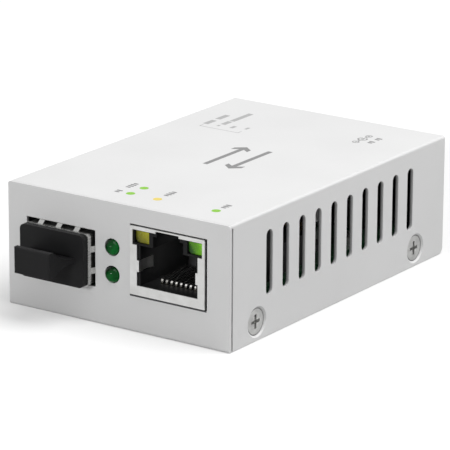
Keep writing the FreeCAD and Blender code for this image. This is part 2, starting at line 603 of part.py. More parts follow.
def finger(face, rise, sign):
    """Bowed strip from the band back past the panel, as seen along its width."""
    start, crest, end = "plug_gap + collar_band - cage_wall", "cage_reach + sheet / 2", \
        "board_front - cage_mouth - finger_end_gap"
    near_face = [(start, "0"), ("%s - finger_crest / 2" % crest, rise),
                 ("%s + finger_crest / 2" % crest, rise), (end, "0")]
    far_face = [(y, "%s + collar_sheet" % z) for y, z in reversed(near_face)]
    return [(y, "%s (%s + %s)" % (sign, face, z)) for y, z in near_face + far_face]


level_rise = "((sfp_opening_height - cage_height) / 2 %s (sfp_opening_z - sfp_centre_z)" \
    " - collar_sheet - finger_edge_gap)"
side_rise = "((sfp_opening_width - cage_width) / 2 - collar_sheet - finger_edge_gap)"
level_fingers, upright_fingers = [], []
for sign in ("1 *", "-1 *"):
    level = sketch_on(collar, "side", "-finger_spread - finger_width / 2")
    outline(level, finger("cage_height / 2", level_rise % ("+" if sign == "1 *" else "-"), sign))
    level_fingers.append(pad(collar, level, "finger_width"))
row_of(collar, level_fingers, "X_Axis", "finger_spread", "3")
for sign in ("1 *", "-1 *"):
    upright = sketch_on(collar, "top", "-finger_spread_side - finger_width / 2")
    outline(upright, [(x, y) for y, x in finger("cage_width / 2", side_rise, sign)])
    upright_fingers.append(pad(collar, upright, "finger_width"))
row_of(collar, upright_fingers, "Z_Axis", "2 * finger_spread_side", "2")

# Edge connector at the back of the cage, soldered to the board.
CONNECTOR_LOW = "board_top - sfp_centre_z"
SLOT_MIDDLE = "board_top - sfp_centre_z + connector_height / 2"
connector = new_piece("sfp_connector", SFP_PORT)
connector_block = block(connector, "-connector_width / 2", "connector_width / 2",
                        "connector_back - connector_length", "connector_back",
                        CONNECTOR_LOW, CONNECTOR_LOW + " + connector_height")
card_slot = sketch_on(connector, "front", "connector_back - connector_length")
rectangle(card_slot, "-card_slot_width / 2", "card_slot_width / 2",
          SLOT_MIDDLE + " - card_slot_height / 2", SLOT_MIDDLE + " + card_slot_height / 2")
pocket(connector, card_slot, "card_slot_depth")
sfp_contacts = new_piece("sfp_contacts", SFP_PORT)
HALF_ROW = "sfp_contact_pitch * (sfp_contact_count - 1) / 2"
FOOT = CONNECTOR_LOW + " + sfp_contact_sheet"
BLADE_FRONT = "connector_back - connector_length + connector_back_gap"
ways, blades = [], []
for side, shift, step in (("-", "-sfp_contact_pitch / 4", "0"),
                          ("+", "sfp_contact_pitch / 4", "sfp_contact_sheet")):
    edge = SLOT_MIDDLE + " %s card_slot_height / 2" % side
    inward = "+" if side == "-" else "-"
    low_edge = edge if side == "-" else edge + " - sfp_contact_sheet"
    middle_x = "-(%s) + %s" % (HALF_ROW, shift)
    ways.append(block(
        connector, middle_x + " - sfp_contact_width / 2", middle_x + " + sfp_contact_width / 2",
        "connector_back - connector_length + card_slot_depth", "connector_back",
        low_edge, low_edge + " + sfp_contact_sheet", cut=True))
    blade = sketch_on(sfp_contacts, "side", middle_x + " - sfp_contact_width / 2")
    riser = "connector_back + %s" % step
    outline(blade, [
        (BLADE_FRONT, low_edge), (riser, low_edge), (riser, FOOT), (riser, CONNECTOR_LOW),
        (riser + " + sfp_tail_length", CONNECTOR_LOW), (riser + " + sfp_tail_length", FOOT),
        (riser + " + sfp_contact_sheet", FOOT),
        (riser + " + sfp_contact_sheet", low_edge + " + sfp_contact_sheet"),
        (BLADE_FRONT, low_edge + " + sfp_contact_sheet")])
    blades.append(pad(sfp_contacts, blade, "sfp_contact_width"))
row_of(connector, ways, "X_Axis", "sfp_contact_pitch", "sfp_contact_count")
row_of(sfp_contacts, blades, "X_Axis", "sfp_contact_pitch", "sfp_contact_count")

# Dust plug: moulded plate, hollow insert and a waisted finger grip.
plug = new_piece("dust_plug", ("sfp_centre_x", "cage_mouth - plug_gap", "sfp_centre_z"))
plate = sketch_on(plug, "front")
rectangle(plate, "-plug_plate_width / 2", "plug_plate_width / 2",
          "-plug_plate_height / 2", "plug_plate_height / 2")
plate_pad = pad(plug, plate, "plug_plate_thickness")
fillet(plug, plate_pad, "plug_corner", "y", lambda middle: True)
INSERT_X = "cage_width / 2 - cage_wall - plug_fit"
INSERT_Z = "cage_height / 2 - cage_wall - plug_fit"
insert = sketch_on(plug, "front")
rectangle(insert, "-(%s)" % INSERT_X, INSERT_X, "-(%s)" % INSERT_Z, INSERT_Z)
insert_pad = pad(plug, insert, "plug_insert_length", reverse=True)
fillet(plug, insert_pad, "plug_wall / 2", "y",
       lambda middle: middle.y > 0 and near(abs(middle.x), amount(INSERT_X)))
hollow = sketch_on(plug, "front", "plug_insert_length")
rectangle(hollow, "plug_wall - (%s)" % INSERT_X, INSERT_X + " - plug_wall",
          "plug_wall - (%s)" % INSERT_Z, INSERT_Z + " - plug_wall")
pocket(plug, hollow, "plug_insert_length", reverse=True)
GRIP_ROOT, GRIP_FRONT = "-plug_plate_thickness", "-plug_plate_thickness - grip_length"
WAIST_END = GRIP_FRONT + " + grip_lip"
RISE = "((grip_height - grip_root_height) / 2)"
RUN = "(grip_length - grip_lip)"
WAIST_RADIUS = "((%s * %s + %s * %s) / (2 * %s))" % (RUN, RUN, RISE, RISE, RISE)
waist = sketch_on(plug, "side")
outline(waist, [
    (GRIP_ROOT + " + plug_plate_thickness / 2", "grip_root_height / 2"),
    (GRIP_ROOT, "grip_root_height / 2"), (WAIST_END, "grip_height / 2"),
    (GRIP_FRONT, "grip_height / 2"), (GRIP_FRONT, "-grip_height / 2"),
    (WAIST_END, "-grip_height / 2"), (GRIP_ROOT, "-grip_root_height / 2"),
    (GRIP_ROOT + " + plug_plate_thickness / 2", "-grip_root_height / 2")],
    arcs={1: (GRIP_ROOT, "grip_root_height / 2 + " + WAIST_RADIUS, "x", "right"),
          5: (GRIP_ROOT, "-grip_root_height / 2 - " + WAIST_RADIUS, "x", "right")})
pad(plug, waist, "grip_root_width", both=True)
FLARE = "((grip_root_width - grip_width) / 2)"
FLARE_RADIUS = "((grip_length * grip_length + %s * %s) / (2 * %s))" % (FLARE, FLARE, FLARE)
flares = []
for sign, turn in (("", "left"), ("-", "right")):
    flare = sketch_on(plug, "top", "-grip_height")
    outline(flare, [
        (sign + "grip_width / 2", GRIP_FRONT), (sign + "grip_root_width / 2", GRIP_ROOT),
        (sign + "grip_root_width / 2", GRIP_FRONT)],
        arcs={0: ("%s(grip_width / 2 + %s)" % (sign, FLARE_RADIUS), GRIP_FRONT, "y",
                  "right" if sign == "" else "left")})
    flares.append(pocket(plug, flare, "2 * grip_height", reverse=True))
corner_cuts = sketch_on(plug, "front", GRIP_FRONT)
for across, turn_x in (("", 1), ("-", -1)):
    for along, turn_z in (("", 1), ("-", -1)):
        inner_x, inner_z = "(grip_width / 2 - grip_corner)", "(grip_height / 2 - grip_corner)"
        outline(corner_cuts, [
            (across + "grip_width / 2", along + inner_z), (across + inner_x, along + "grip_height / 2"),
            (across + inner_x, along + "(grip_height / 2 + grip_corner)"),
            (across + "grip_root_width / 2", along + "(grip_height / 2 + grip_corner)"),
            (across + "grip_root_width / 2", along + inner_z)],
            arcs={0: (across + inner_x, along + inner_z, "x", "left" if turn_x == turn_z else "right")})
rounded = pocket(plug, corner_cuts, "grip_length", reverse=True)
front_edges = [
    "Edge%d" % number for number, edge in enumerate(rounded.Shape.Edges, 1)
    if near(edge.CenterOfMass.y, amount(GRIP_FRONT))]
dress(plug, "Fillet", rounded, "Radius", "grip_edge", front_edges)

# Shielded modular jack: folded metal shield, moulded insulator, eight sprung contacts.
JACK_PORT = ("jack_centre_x", "jack_face", "board_top")
shield = new_piece("rj45_shield", JACK_PORT)
shield_block = block(shield, "-jack_width / 2", "jack_width / 2", "0", "jack_length", "0", "jack_height")
fillet(shield, shield_block, "shield_bend", "y", lambda middle: near(middle.z, amount("jack_height")))
block(shield, "shield_sheet - jack_width / 2", "jack_width / 2 - shield_sheet", "shield_sheet",
      "jack_length - shield_sheet", "0", "jack_height - shield_sheet", cut=True)
mouth = sketch_on(shield, "front")
half_mouth = [
    ("mouth_width / 2", "mouth_floor"), ("mouth_width / 2", "side_spring_low"),
    ("mouth_width / 2 - side_spring_reach", "side_spring_low"),
    ("mouth_width / 2 - side_spring_reach", "side_spring_high"),
    ("mouth_width / 2", "side_spring_high"), ("mouth_width / 2", "lamp_zone_floor"),
    ("lamp_zone_width / 2", "lamp_zone_floor"), ("lamp_zone_width / 2", "lamp_zone_top"),
    ("notch_width / 2", "lamp_zone_top"), ("notch_width / 2", "notch_top")]
outline(mouth, half_mouth + [("-(%s)" % x, z) for x, z in reversed(half_mouth)])
pocket(shield, mouth, "shield_sheet")
for side in ("", "-1 * "):
    spring = sketch_on(shield, "top", "side_spring_low")
    outline(spring, [(side + "(mouth_width / 2 - side_spring_reach + %s)" % x, y) for x, y in (
        ("0", "0"), ("shield_sheet", "0"), ("spring_bow + shield_sheet", "spring_bow_setback"),
        ("shield_sheet - spring_tip", "spring_tongue"), ("-spring_tip", "spring_tongue"),
        ("spring_bow", "spring_bow_setback"))])
    pad(shield, spring, "side_spring_high - side_spring_low")
    peg = sketch_on(shield, "side", "jack_width / 2 - shield_sheet" if side == "" else "-jack_width / 2")
    rectangle(peg, "shield_peg_setback - shield_peg_width / 2", "shield_peg_setback + shield_peg_width / 2",
              "-board_thickness - pin_tip", "shield_peg_width")
    pad(shield, peg, "shield_sheet")

insulator = new_piece("rj45_insulator", JACK_PORT)
block(insulator, "-insert_half", "insert_half", "insert_front", "insert_back", "0", "insert_top")
block(insulator, "-port_width / 2", "port_width / 2", "insert_front", "contact_back",
      "port_floor", "port_top", cut=True)
block(insulator, "-latch_way_width / 2", "latch_way_width / 2", "insert_front",
      "insert_front + latch_way_depth", "port_top", "latch_way_top", cut=True)
block(insulator, "-notch_width / 2", "notch_width / 2", "insert_front",
      "insert_front + latch_way_depth", "latch_way_top", "notch_top - insert_fit", cut=True)
for side in ("", "-1 * "):
    block(insulator, side + "(lens_centre - lens_width / 2 - lens_fit)",
          side + "(lens_centre + lens_width / 2 + lens_fit)", "insert_front", "lens_setback + lens_length",
          "lens_floor - lens_fit", "lens_floor + lens_height + lens_fit", cut=True)
    block(insulator, side + "(port_width / 2)", side + "insert_half", "insert_front",
          "spring_tongue + insert_fit", "side_spring_low - insert_fit", "side_spring_high + insert_fit",
          cut=True)
WIRE_X = "-contact_pitch * (contact_count - 1) / 2"
TAIL_Y = "contact_back + contact_tail_setback"
groove = block(insulator, WIRE_X + " - contact_slot / 2", WIRE_X + " + contact_slot / 2",
               "contact_setback - insert_fit", TAIL_Y + " + contact_slot / 2",
               "contact_floor", "port_floor", cut=True)
shaft = block(insulator, WIRE_X + " - contact_slot / 2", WIRE_X + " + contact_slot / 2",
              TAIL_Y + " - contact_slot / 2", TAIL_Y + " + contact_slot / 2",
              "0", "contact_floor", cut=True)
row_of(insulator, [groove, shaft], "X_Axis", "contact_pitch", "contact_count")

contacts = new_piece("rj45_contacts", JACK_PORT)
wire = sketch_on(contacts, "side", WIRE_X + " - contact_width / 2")
END_Y = "contact_setback + contact_run"
outline(wire, [
    (TAIL_Y + " - contact_sheet / 2", "-board_thickness - pin_tip"),
    (TAIL_Y + " + contact_sheet / 2", "-board_thickness - pin_tip"),
    (TAIL_Y + " + contact_sheet / 2", "contact_floor + contact_sheet"),
    ("contact_setback + contact_sheet", "contact_floor + contact_sheet"),
    ("contact_setback + 1.6 * contact_sheet", "port_floor + contact_nose - 1.4 * contact_sheet"),
    ("contact_setback + 2.4 * contact_sheet", "port_floor + contact_nose - contact_sheet"),
    (END_Y, "contact_floor + contact_rise - contact_sheet"), (END_Y, "contact_floor + contact_rise"),
    ("contact_setback + 2 * contact_sheet", "port_floor + contact_nose"),
    ("contact_setback + contact_sheet", "port_floor + contact_nose - contact_sheet / 3"),
    ("contact_setback + contact_sheet / 3", "port_floor + contact_nose - 1.2 * contact_sheet"),
    ("contact_setback", "contact_floor + contact_sheet / 2"),
    ("contact_setback + contact_sheet / 2", "contact_floor"),
    (TAIL_Y + " - contact_sheet / 2", "contact_floor")])
row_of(contacts, [pad(contacts, wire, "contact_width")], "X_Axis", "contact_pitch", "contact_count")

for label, side, inner in (("rj45_yellow_light", "-1 * ", 1), ("rj45_green_light", "", -1)):
    light = new_piece(label, JACK_PORT)
    lens = block(light, side + "(lens_centre - lens_width / 2)", side + "(lens_centre + lens_width / 2)",
                 "lens_setback", "lens_setback + lens_length", "lens_floor", "lens_floor + lens_height")
    fillet(light, lens, "lens_corner", "y",
           lambda middle: near(middle.z, amount("lens_floor")) and middle.x < amount(side + "lens_centre"))

# Panel lamps: two moulded domes in a stacked holder, with bent leads into the board.
for label, level in (("link_led", "lamp_upper_z"), ("power_led", "lamp_lower_z")):
    lamp = new_piece(label, ("lamp_x", "0", level))
    dome = sketch_on(lamp, "top")
    TIP = "front_face - lamp_reach"
    outline(dome, [
        ("0", TIP), ("lamp_diameter / 2", TIP + " + lamp_diameter / 2"),
        ("lamp_diameter / 2", "lamp_rear"), ("0", "lamp_rear")],
        arcs={0: ("0", TIP + " + lamp_diameter / 2", "x", "left")})
    turn = lamp.newObject("PartDesign::Revolution", label + "_turn")
    turn.Profile = dome
    turn.ReferenceAxis = (dome, ["V_Axis"])
    turn.Angle = 360
    doc.recompute()
holder = new_piece("led_holder")
block(holder, "lamp_x - holder_width / 2", "lamp_x + holder_width / 2", "holder_front",
      "holder_front + holder_length", "board_top", "lamp_upper_z + lamp_diameter / 2 + holder_roof")
lamp_bores = sketch_on(holder, "front", "holder_front")
circle(lamp_bores, "lamp_x", "lamp_upper_z", "lamp_diameter + 2 * holder_fit")
circle(lamp_bores, "lamp_x", "lamp_lower_z", "lamp_diameter + 2 * holder_fit")
pocket(holder, lamp_bores, "holder_length")
leads = new_piece("led_leads")
for x in ("lamp_x - lead_spacing / 2", "lamp_x + lead_spacing / 2"):
    for level, run in (("lamp_upper_z", "lead_run_upper"), ("lamp_lower_z", "lead_run_lower")):
        lead = sketch_on(leads, "side", x + " - lead_wire / 2")
        outline(lead, [
            ("lamp_rear", level + " - lead_wire / 2"),
            ("lamp_rear + %s - lead_wire" % run, level + " - lead_wire / 2"),
            ("lamp_rear + %s - lead_wire" % run, PIN_BOTTOM),
            ("lamp_rear + " + run, PIN_BOTTOM), ("lamp_rear + " + run, level + " + lead_wire / 2"),
            ("lamp_rear", level + " + lead_wire / 2")])
        pad(leads, lead, "lead_wire")

# DC inlet: moulded housing with a round bore, centre pin and leaf spring.
INLET = ("inlet_x", "inlet_face", "board_top")
housing = new_piece("dc_jack_housing", INLET)
block(housing, "-inlet_width / 2", "inlet_width / 2", "-inlet_flange", "0", "0", "inlet_height")
barrel = sketch_on(housing, "front", "-inlet_flange")
BARREL = "inlet_width / 2 - inlet_waist"
outline(barrel, [("-(%s)" % BARREL, "0"), (BARREL, "0"), (BARREL, "inlet_axis"),
                 ("-(%s)" % BARREL, "inlet_axis")],
        arcs={2: ("0", "inlet_axis", "y", "left")})
pad(housing, barrel, "inlet_length - inlet_flange")
inlet_bore = sketch_on(housing, "front")
circle(inlet_bore, "0", "inlet_axis", "inlet_bore")
pocket(housing, inlet_bore, "inlet_bore_depth", reverse=True)
pin_bore = sketch_on(housing, "front", "-inlet_length")
circle(pin_bore, "0", "inlet_axis", "inlet_pin")
pocket(housing, pin_bore, "inlet_length")
BORE_LOW = "inlet_axis - inlet_bore / 2"
block(housing, "-spring_width / 2 - insert_fit", "spring_width / 2 + insert_fit",
      "-inlet_bore_depth", "-spring_setback + insert_fit", BORE_LOW + " - spring_sheet", "inlet_axis",
      cut=True)
block(housing, "-spring_width / 2 - insert_fit", "spring_width / 2 + insert_fit",
      "-inlet_bore_depth", "-inlet_bore_depth + spring_sheet + insert_fit",
      "0", BORE_LOW, cut=True)
pin = new_piece("dc_jack_pin", INLET)
pin_profile = sketch_on(pin, "front", "-inlet_length")
circle(pin_profile, "0", "inlet_axis", "inlet_pin")
pin_pad = pad(pin, pin_profile, "inlet_length - inlet_pin_setback", reverse=True)
tip_edges = ["Edge%d" % number for number, edge in enumerate(pin_pad.Shape.Edges, 1)
             if edge.Curve.TypeId == "Part::GeomCircle"
             and near(edge.CenterOfMass.y, amount("inlet_face - inlet_pin_setback")
                      - amount("inlet_face"))]
dress(pin, "Chamfer", pin_pad, "Size", "inlet_pin / 4", tip_edges)
block(pin, "-tail_width / 2", "tail_width / 2", "-inlet_length - tail_sheet", "-inlet_length",
      "-board_thickness - pin_tip", "inlet_axis + inlet_pin / 2 + tail_sheet")
leaf = new_piece("dc_jack_spring", INLET)
leaf_profile = sketch_on(leaf, "side", "-spring_width / 2")
BEND = "-inlet_bore_depth"
CREST = "(spring_setback + inlet_bore_depth) / 2"
outline(leaf_profile, [
    (BEND, "-board_thickness - pin_tip"), (BEND + " + spring_sheet", "-board_thickness - pin_tip"),
    (BEND + " + spring_sheet", BORE_LOW + " - spring_sheet"),
    ("-" + CREST, BORE_LOW + " + spring_sheet"), ("-spring_setback", BORE_LOW + " - spring_sheet"),
    ("-spring_setback", BORE_LOW), ("-" + CREST, BORE_LOW + " + 2 * spring_sheet"), (BEND, BORE_LOW)])
pad(leaf, leaf_profile, "spring_width")

# Parts on the board.
chip = new_piece("converter_chip", ("chip_x", "chip_y", "board_top"))
chip_block = block(chip, "-chip_side / 2", "chip_side / 2", "-chip_side / 2", "chip_side / 2",
                   "chip_lift", "chip_height")
chip_edges = [name for along in "xy" for name in edges_of(
    chip_block.Shape, along, lambda middle: near(middle.z, amount("chip_height")))]
dress(chip, "Chamfer", chip_block, "Size", "chip_bevel", chip_edges)
pin_one = sketch_on(chip, "top", "chip_height")
circle(pin_one, "lead_pitch * 2 - chip_side / 2", "lead_pitch * 2 - chip_side / 2", "lead_pitch * 1.5")
pocket(chip, pin_one, "chip_bevel / 2")
chip_leads = new_piece("chip_leads", ("chip_x", "chip_y", "board_top"))
gull = [("chip_side / 2", "chip_height / 2"), ("chip_side / 2 + lead_reach * 0.4", "0"),
        ("chip_side / 2 + lead_reach", "0"), ("chip_side / 2 + lead_reach", "lead_sheet"),
        ("chip_side / 2 + lead_reach * 0.4 + lead_sheet", "lead_sheet"),
        ("chip_side / 2", "chip_height / 2 + 1.5 * lead_sheet")]
for plane, axis in (("side", "X_Axis"), ("front", "Y_Axis")):
    ranks = []
    for sign in ("", "-1 * "):
        rank = sketch_on(chip_leads, plane, "-lead_pitch * (lead_count - 1) / 2 - lead_width / 2")
        outline(rank, [(sign + "(%s)" % across, up) for across, up in gull])
        ranks.append(pad(chip_leads, rank, "lead_width", reverse=plane == "front"))
    row_of(chip_leads, ranks, axis, "lead_pitch", "lead_count")

transformer = new_piece("lan_transformer", ("transformer_x", "transformer_y", "board_top"))
transformer_block = block(transformer, "-transformer_width / 2", "transformer_width / 2",
                          "-transformer_depth / 2", "transformer_depth / 2", "0", "transformer_height")
transformer_edges = edges_of(transformer_block.Shape, "x",
                             lambda middle: near(middle.z, amount("transformer_height")))
dress(transformer, "Chamfer", transformer_block, "Size", "chip_bevel * 2", transformer_edges)

crystal = new_piece("crystal", ("crystal_x", "crystal_y", "board_top"))
block(crystal, "-(crystal_width + crystal_rim) / 2", "(crystal_width + crystal_rim) / 2",
      "-(crystal_length + crystal_rim) / 2", "(crystal_length + crystal_rim) / 2",
      "0", "crystal_rim_height")
stage = sketch_on(crystal, "top")
upright_slot(stage, "0", "0", "crystal_length", "crystal_width")
pad(crystal, stage, "crystal_height")

capacitors = new_piece("capacitors", ("can_x", "can_y", "board_top"))
can_base = block(capacitors, "-can_base / 2", "can_base / 2", "-can_base / 2", "can_base / 2",
                 "0", "can_base_height")
can = turned(capacitors, "front", "0", [
    ("0", "0"), ("can_diameter / 2", "0"), ("can_diameter / 2", "can_height - can_edge / 2"),
    ("can_diameter / 2 - can_edge / 2", "can_height"), ("0", "can_height")], "V_Axis")
row_of(capacitors, [can_base, can], "X_Axis", "can_pitch", "can_count")

inductor = new_piece("inductor", ("inductor_x", "inductor_y", "board_top"))
inductor_block = block(inductor, "-inductor_side / 2", "inductor_side / 2", "-inductor_side / 2",
                       "inductor_side / 2", "0", "inductor_height")
chamfer(inductor, inductor_block, "inductor_corner", "z", lambda middle: True)
well = sketch_on(inductor, "top", "inductor_height")
circle(well, "0", "0", "inductor_well")
pocket(inductor, well, "inductor_well_depth")

regulator = new_piece("regulator", ("regulator_x", "regulator_y", "board_top"))
block(regulator, "-regulator_width / 2", "regulator_width / 2", "-regulator_depth / 2",
      "regulator_depth / 2", "chip_lift", "regulator_height")
block(regulator, "-regulator_tab_width / 2", "regulator_tab_width / 2", "regulator_depth / 2",
      "regulator_depth / 2 + regulator_tab_length", "0", "regulator_lead_sheet")
leg = block(regulator, "-regulator_lead_pitch - regulator_lead_width / 2",
            "regulator_lead_width / 2 - regulator_lead_pitch",
            "-regulator_depth / 2 - regulator_lead_length", "-regulator_depth / 2",
            "0", "regulator_lead_sheet")
row_of(regulator, [leg], "X_Axis", "regulator_lead_pitch", "3")

memory = new_piece("memory_chip", ("memory_x", "memory_y", "board_top"))
block(memory, "-memory_width / 2", "memory_width / 2", "-memory_depth / 2", "memory_depth / 2",
      "0", "memory_height")
end_notch = sketch_on(memory, "top", "memory_height")
circle(end_notch, "-memory_width / 2", "0", "memory_notch")
pocket(memory, end_notch, "memory_notch / 4")

chip_parts = new_piece("chip_parts", ("chip_row_x", "chip_row_y", "board_top"))
chip_part = block(chip_parts, "0", "chip_part_width", "0", "chip_part_length", "0", "chip_part_height")
row_of(chip_parts, [chip_part], "X_Axis", "chip_part_pitch", "chip_part_count")

os.makedirs("parts", exist_ok=True)
doc.recompute()
for item in doc.Objects:
    if "Invalid" in item.State or "Error" in item.State:
        raise RuntimeError("%s failed: %s" % (item.Name, item.getStatusString()))
for piece in pieces:
    if piece.Shape.isNull() or not piece.Shape.isValid():
        raise RuntimeError("%s has no valid shape" % piece.Label)
for piece in pieces:
    piece.Shape.exportStep("parts/%s.step" % piece.Label)
    print("%-20s %3d solids %10.2f mm3" % (piece.Label, len(piece.Shape.Solids), piece.Shape.Volume))
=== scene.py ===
"""Looks of a small fibre media converter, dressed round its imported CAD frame."""

import logging
import math
from dataclasses import dataclass, field, replace
from enum import Enum
from functools import reduce
from typing import Callable, Iterable, Sequence

import bmesh
import bpy
from mathutils import Matrix, Vector


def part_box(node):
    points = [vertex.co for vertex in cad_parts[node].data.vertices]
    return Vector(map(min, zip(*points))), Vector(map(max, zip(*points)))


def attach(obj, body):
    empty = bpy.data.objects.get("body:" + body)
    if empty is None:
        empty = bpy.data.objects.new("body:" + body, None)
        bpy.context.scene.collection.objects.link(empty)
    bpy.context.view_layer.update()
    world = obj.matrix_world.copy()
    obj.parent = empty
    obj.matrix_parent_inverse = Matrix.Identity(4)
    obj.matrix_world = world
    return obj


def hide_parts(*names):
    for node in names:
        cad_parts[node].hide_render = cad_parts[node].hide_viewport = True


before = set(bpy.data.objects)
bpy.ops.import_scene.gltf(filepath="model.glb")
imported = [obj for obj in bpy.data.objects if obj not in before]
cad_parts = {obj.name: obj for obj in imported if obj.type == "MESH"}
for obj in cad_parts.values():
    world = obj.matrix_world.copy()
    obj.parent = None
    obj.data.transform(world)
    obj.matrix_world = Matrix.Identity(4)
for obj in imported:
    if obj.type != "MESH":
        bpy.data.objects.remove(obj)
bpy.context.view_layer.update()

LOG = logging.getLogger("media_converter")
MM = 0.001
WELD = 1e-7
Point = tuple[float, float, float]
Colour = tuple[float, float, float]


def front_of(node: str) -> float:
    """Foremost place of a CAD node, in metres."""
    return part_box(node)[0][1]


def top_of(node: str) -> float:
    """Highest level of a CAD node, in metres."""
    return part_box(node)[1][2]


class Axis(Enum):
    """Direction in the shared frame, by its socket's name."""

    ACROSS = "X"
    BACK = "Y"
    UP = "Z"


# ---------------------------------------------------------------- node trees


class Tree:
    """Small builder for one shader node tree."""

    def __init__(self, name: str) -> None:
        """Starts an empty material.

        Args:
            name: the material's name.
        """
        self.material = bpy.data.materials.new(name)
        self.material.use_nodes = True
        self.nodes = self.material.node_tree.nodes
        self.links = self.material.node_tree.links
        self.nodes.clear()
        self.output = self.nodes.new("ShaderNodeOutputMaterial")
        self.coordinates = self.nodes.new("ShaderNodeTexCoord")

    def add(self, kind: str, **settings: object) -> bpy.types.Node:
        """Adds a node.

        Args:
            kind: the node's type after "ShaderNode".
            settings: properties of the node, or values of its inputs by name with spaces as underscores.

        Returns:
            The new node.
        """
        node = self.nodes.new("ShaderNode" + kind)
        for key, value in settings.items():
            socket = node.inputs.get(key.replace("_", " "))
            if socket is not None:
                socket.default_value = value
            else:
                setattr(node, key, value)
        return node

    def join(self, source: bpy.types.NodeSocket, target: bpy.types.NodeSocket) -> None:
        """Links two sockets."""
        self.links.new(source, target)

    def noise(self, scale: float, detail: float = 3.0, roughness: float = 0.5) -> bpy.types.NodeSocket:
        """Noise on the piece's own coordinates.

        Args:
            scale: cells to the metre.
            detail: octaves.
            roughness: how strong the finer octaves are.

        Returns:
            The noise value's socket.
        """
        node = self.add("TexNoise", Scale=scale, Detail=detail, Roughness=roughness)
        self.join(self.coordinates.outputs["Object"], node.inputs["Vector"])
        return node.outputs["Fac"]

    def spread(self, value: bpy.types.NodeSocket, low: float, high: float,
               start: float = 0.3, stop: float = 0.7) -> bpy.types.NodeSocket:
        """Maps a noise value onto a range.

        Args:
            value: the noise value.
            low: result at start.
            high: result at stop.
            start: noise value that gives low.
            stop: noise value that gives high.

        Returns:
            The mapped value's socket.
        """
        node = self.nodes.new("ShaderNodeMapRange")
        for name, number in (("From Min", start), ("From Max", stop), ("To Min", low), ("To Max", high)):
            node.inputs[name].default_value = number
        self.join(value, node.inputs["Value"])
        return node.outputs["Result"]

    def blend(self, value: bpy.types.NodeSocket, one: Colour, other: Colour) -> bpy.types.NodeSocket:
        """Colour between two, by a value.

        Args:
            value: 0 for the first colour, 1 for the second.
            one: the first colour.
            other: the second colour.

        Returns:
            The colour's socket.
        """
        node = self.nodes.new("ShaderNodeMix")
        node.data_type = "RGBA"
        sockets = {socket.identifier: socket for socket in node.inputs}
        sockets["A_Color"].default_value = (*one, 1.0)
        sockets["B_Color"].default_value = (*other, 1.0)
        self.join(value, sockets["Factor_Float"])
        return next(socket for socket in node.outputs if socket.identifier == "Result_Color")

    def work(self, operation: str, one: bpy.types.NodeSocket | float,
             other: bpy.types.NodeSocket | float = 0.0) -> bpy.types.NodeSocket:
        """Works out a sum on sockets or numbers.

        Args:
            operation: the Math node's operation.
            one: its first value.
            other: its second value, where it takes one.

        Returns:
            The result's socket.
        """
        node = self.add("Math", operation=operation)
        for index, value in enumerate((one, other)):
            if isinstance(value, (int, float)):
                node.inputs[index].default_value = value
            else:
                self.join(value, node.inputs[index])
        return node.outputs["Value"]

    def along(self, axis: Axis) -> bpy.types.NodeSocket:
        """Coordinate of a point of the piece along one axis, as a socket."""
        apart = self.add("SeparateXYZ")
        self.join(self.coordinates.outputs["Object"], apart.inputs["Vector"])
        return apart.outputs[axis.value]

    def away(self, axis: Axis, middle: float = 0.0) -> bpy.types.NodeSocket:
        """Distance to either side of a plane that stands square to an axis, in metres."""
        return self.work("ABSOLUTE", self.work("SUBTRACT", self.along(axis), middle))

    def toned(self, value: bpy.types.NodeSocket, start: bpy.types.NodeSocket,
              tone: Colour) -> bpy.types.NodeSocket:
        """Colour that turns to a plain tone as a value rises.

        Args:
            value: 0 for the starting colour, 1 for the tone.
            start: the starting colour's socket.
            tone: the tone.

        Returns:
            The colour's socket.
        """
        mixed = self.blend(value, tone, tone)
        self.join(start, next(socket for socket in mixed.node.inputs if socket.identifier == "A_Color"))
        return mixed

    def bump(self, height: bpy.types.NodeSocket, distance: float, strength: float = 1.0,
             under: bpy.types.NodeSocket | None = None) -> bpy.types.NodeSocket:
        """Bump of a height in metres.

        Args:
            height: the height's socket.
            distance: metres for a height of one.
            strength: share of the effect.
            under: a bump that this one lies on.

        Returns:
            The normal's socket.
        """
        node = self.add("Bump", Distance=distance, Strength=strength)
        self.join(height, node.inputs["Height"])
        if under is not None:
            self.join(under, node.inputs["Normal"])
        return node.outputs["Normal"]

    def surface(self, **values: object) -> bpy.types.Node:
        """Principled shader on the output.

        Args:
            values: numbers set on its sockets, by name with spaces as underscores.

        Returns:
            The shader node.
        """
        shader = self.add("BsdfPrincipled", **values)
        self.join(shader.outputs["BSDF"], self.output.inputs["Surface"])
        return shader


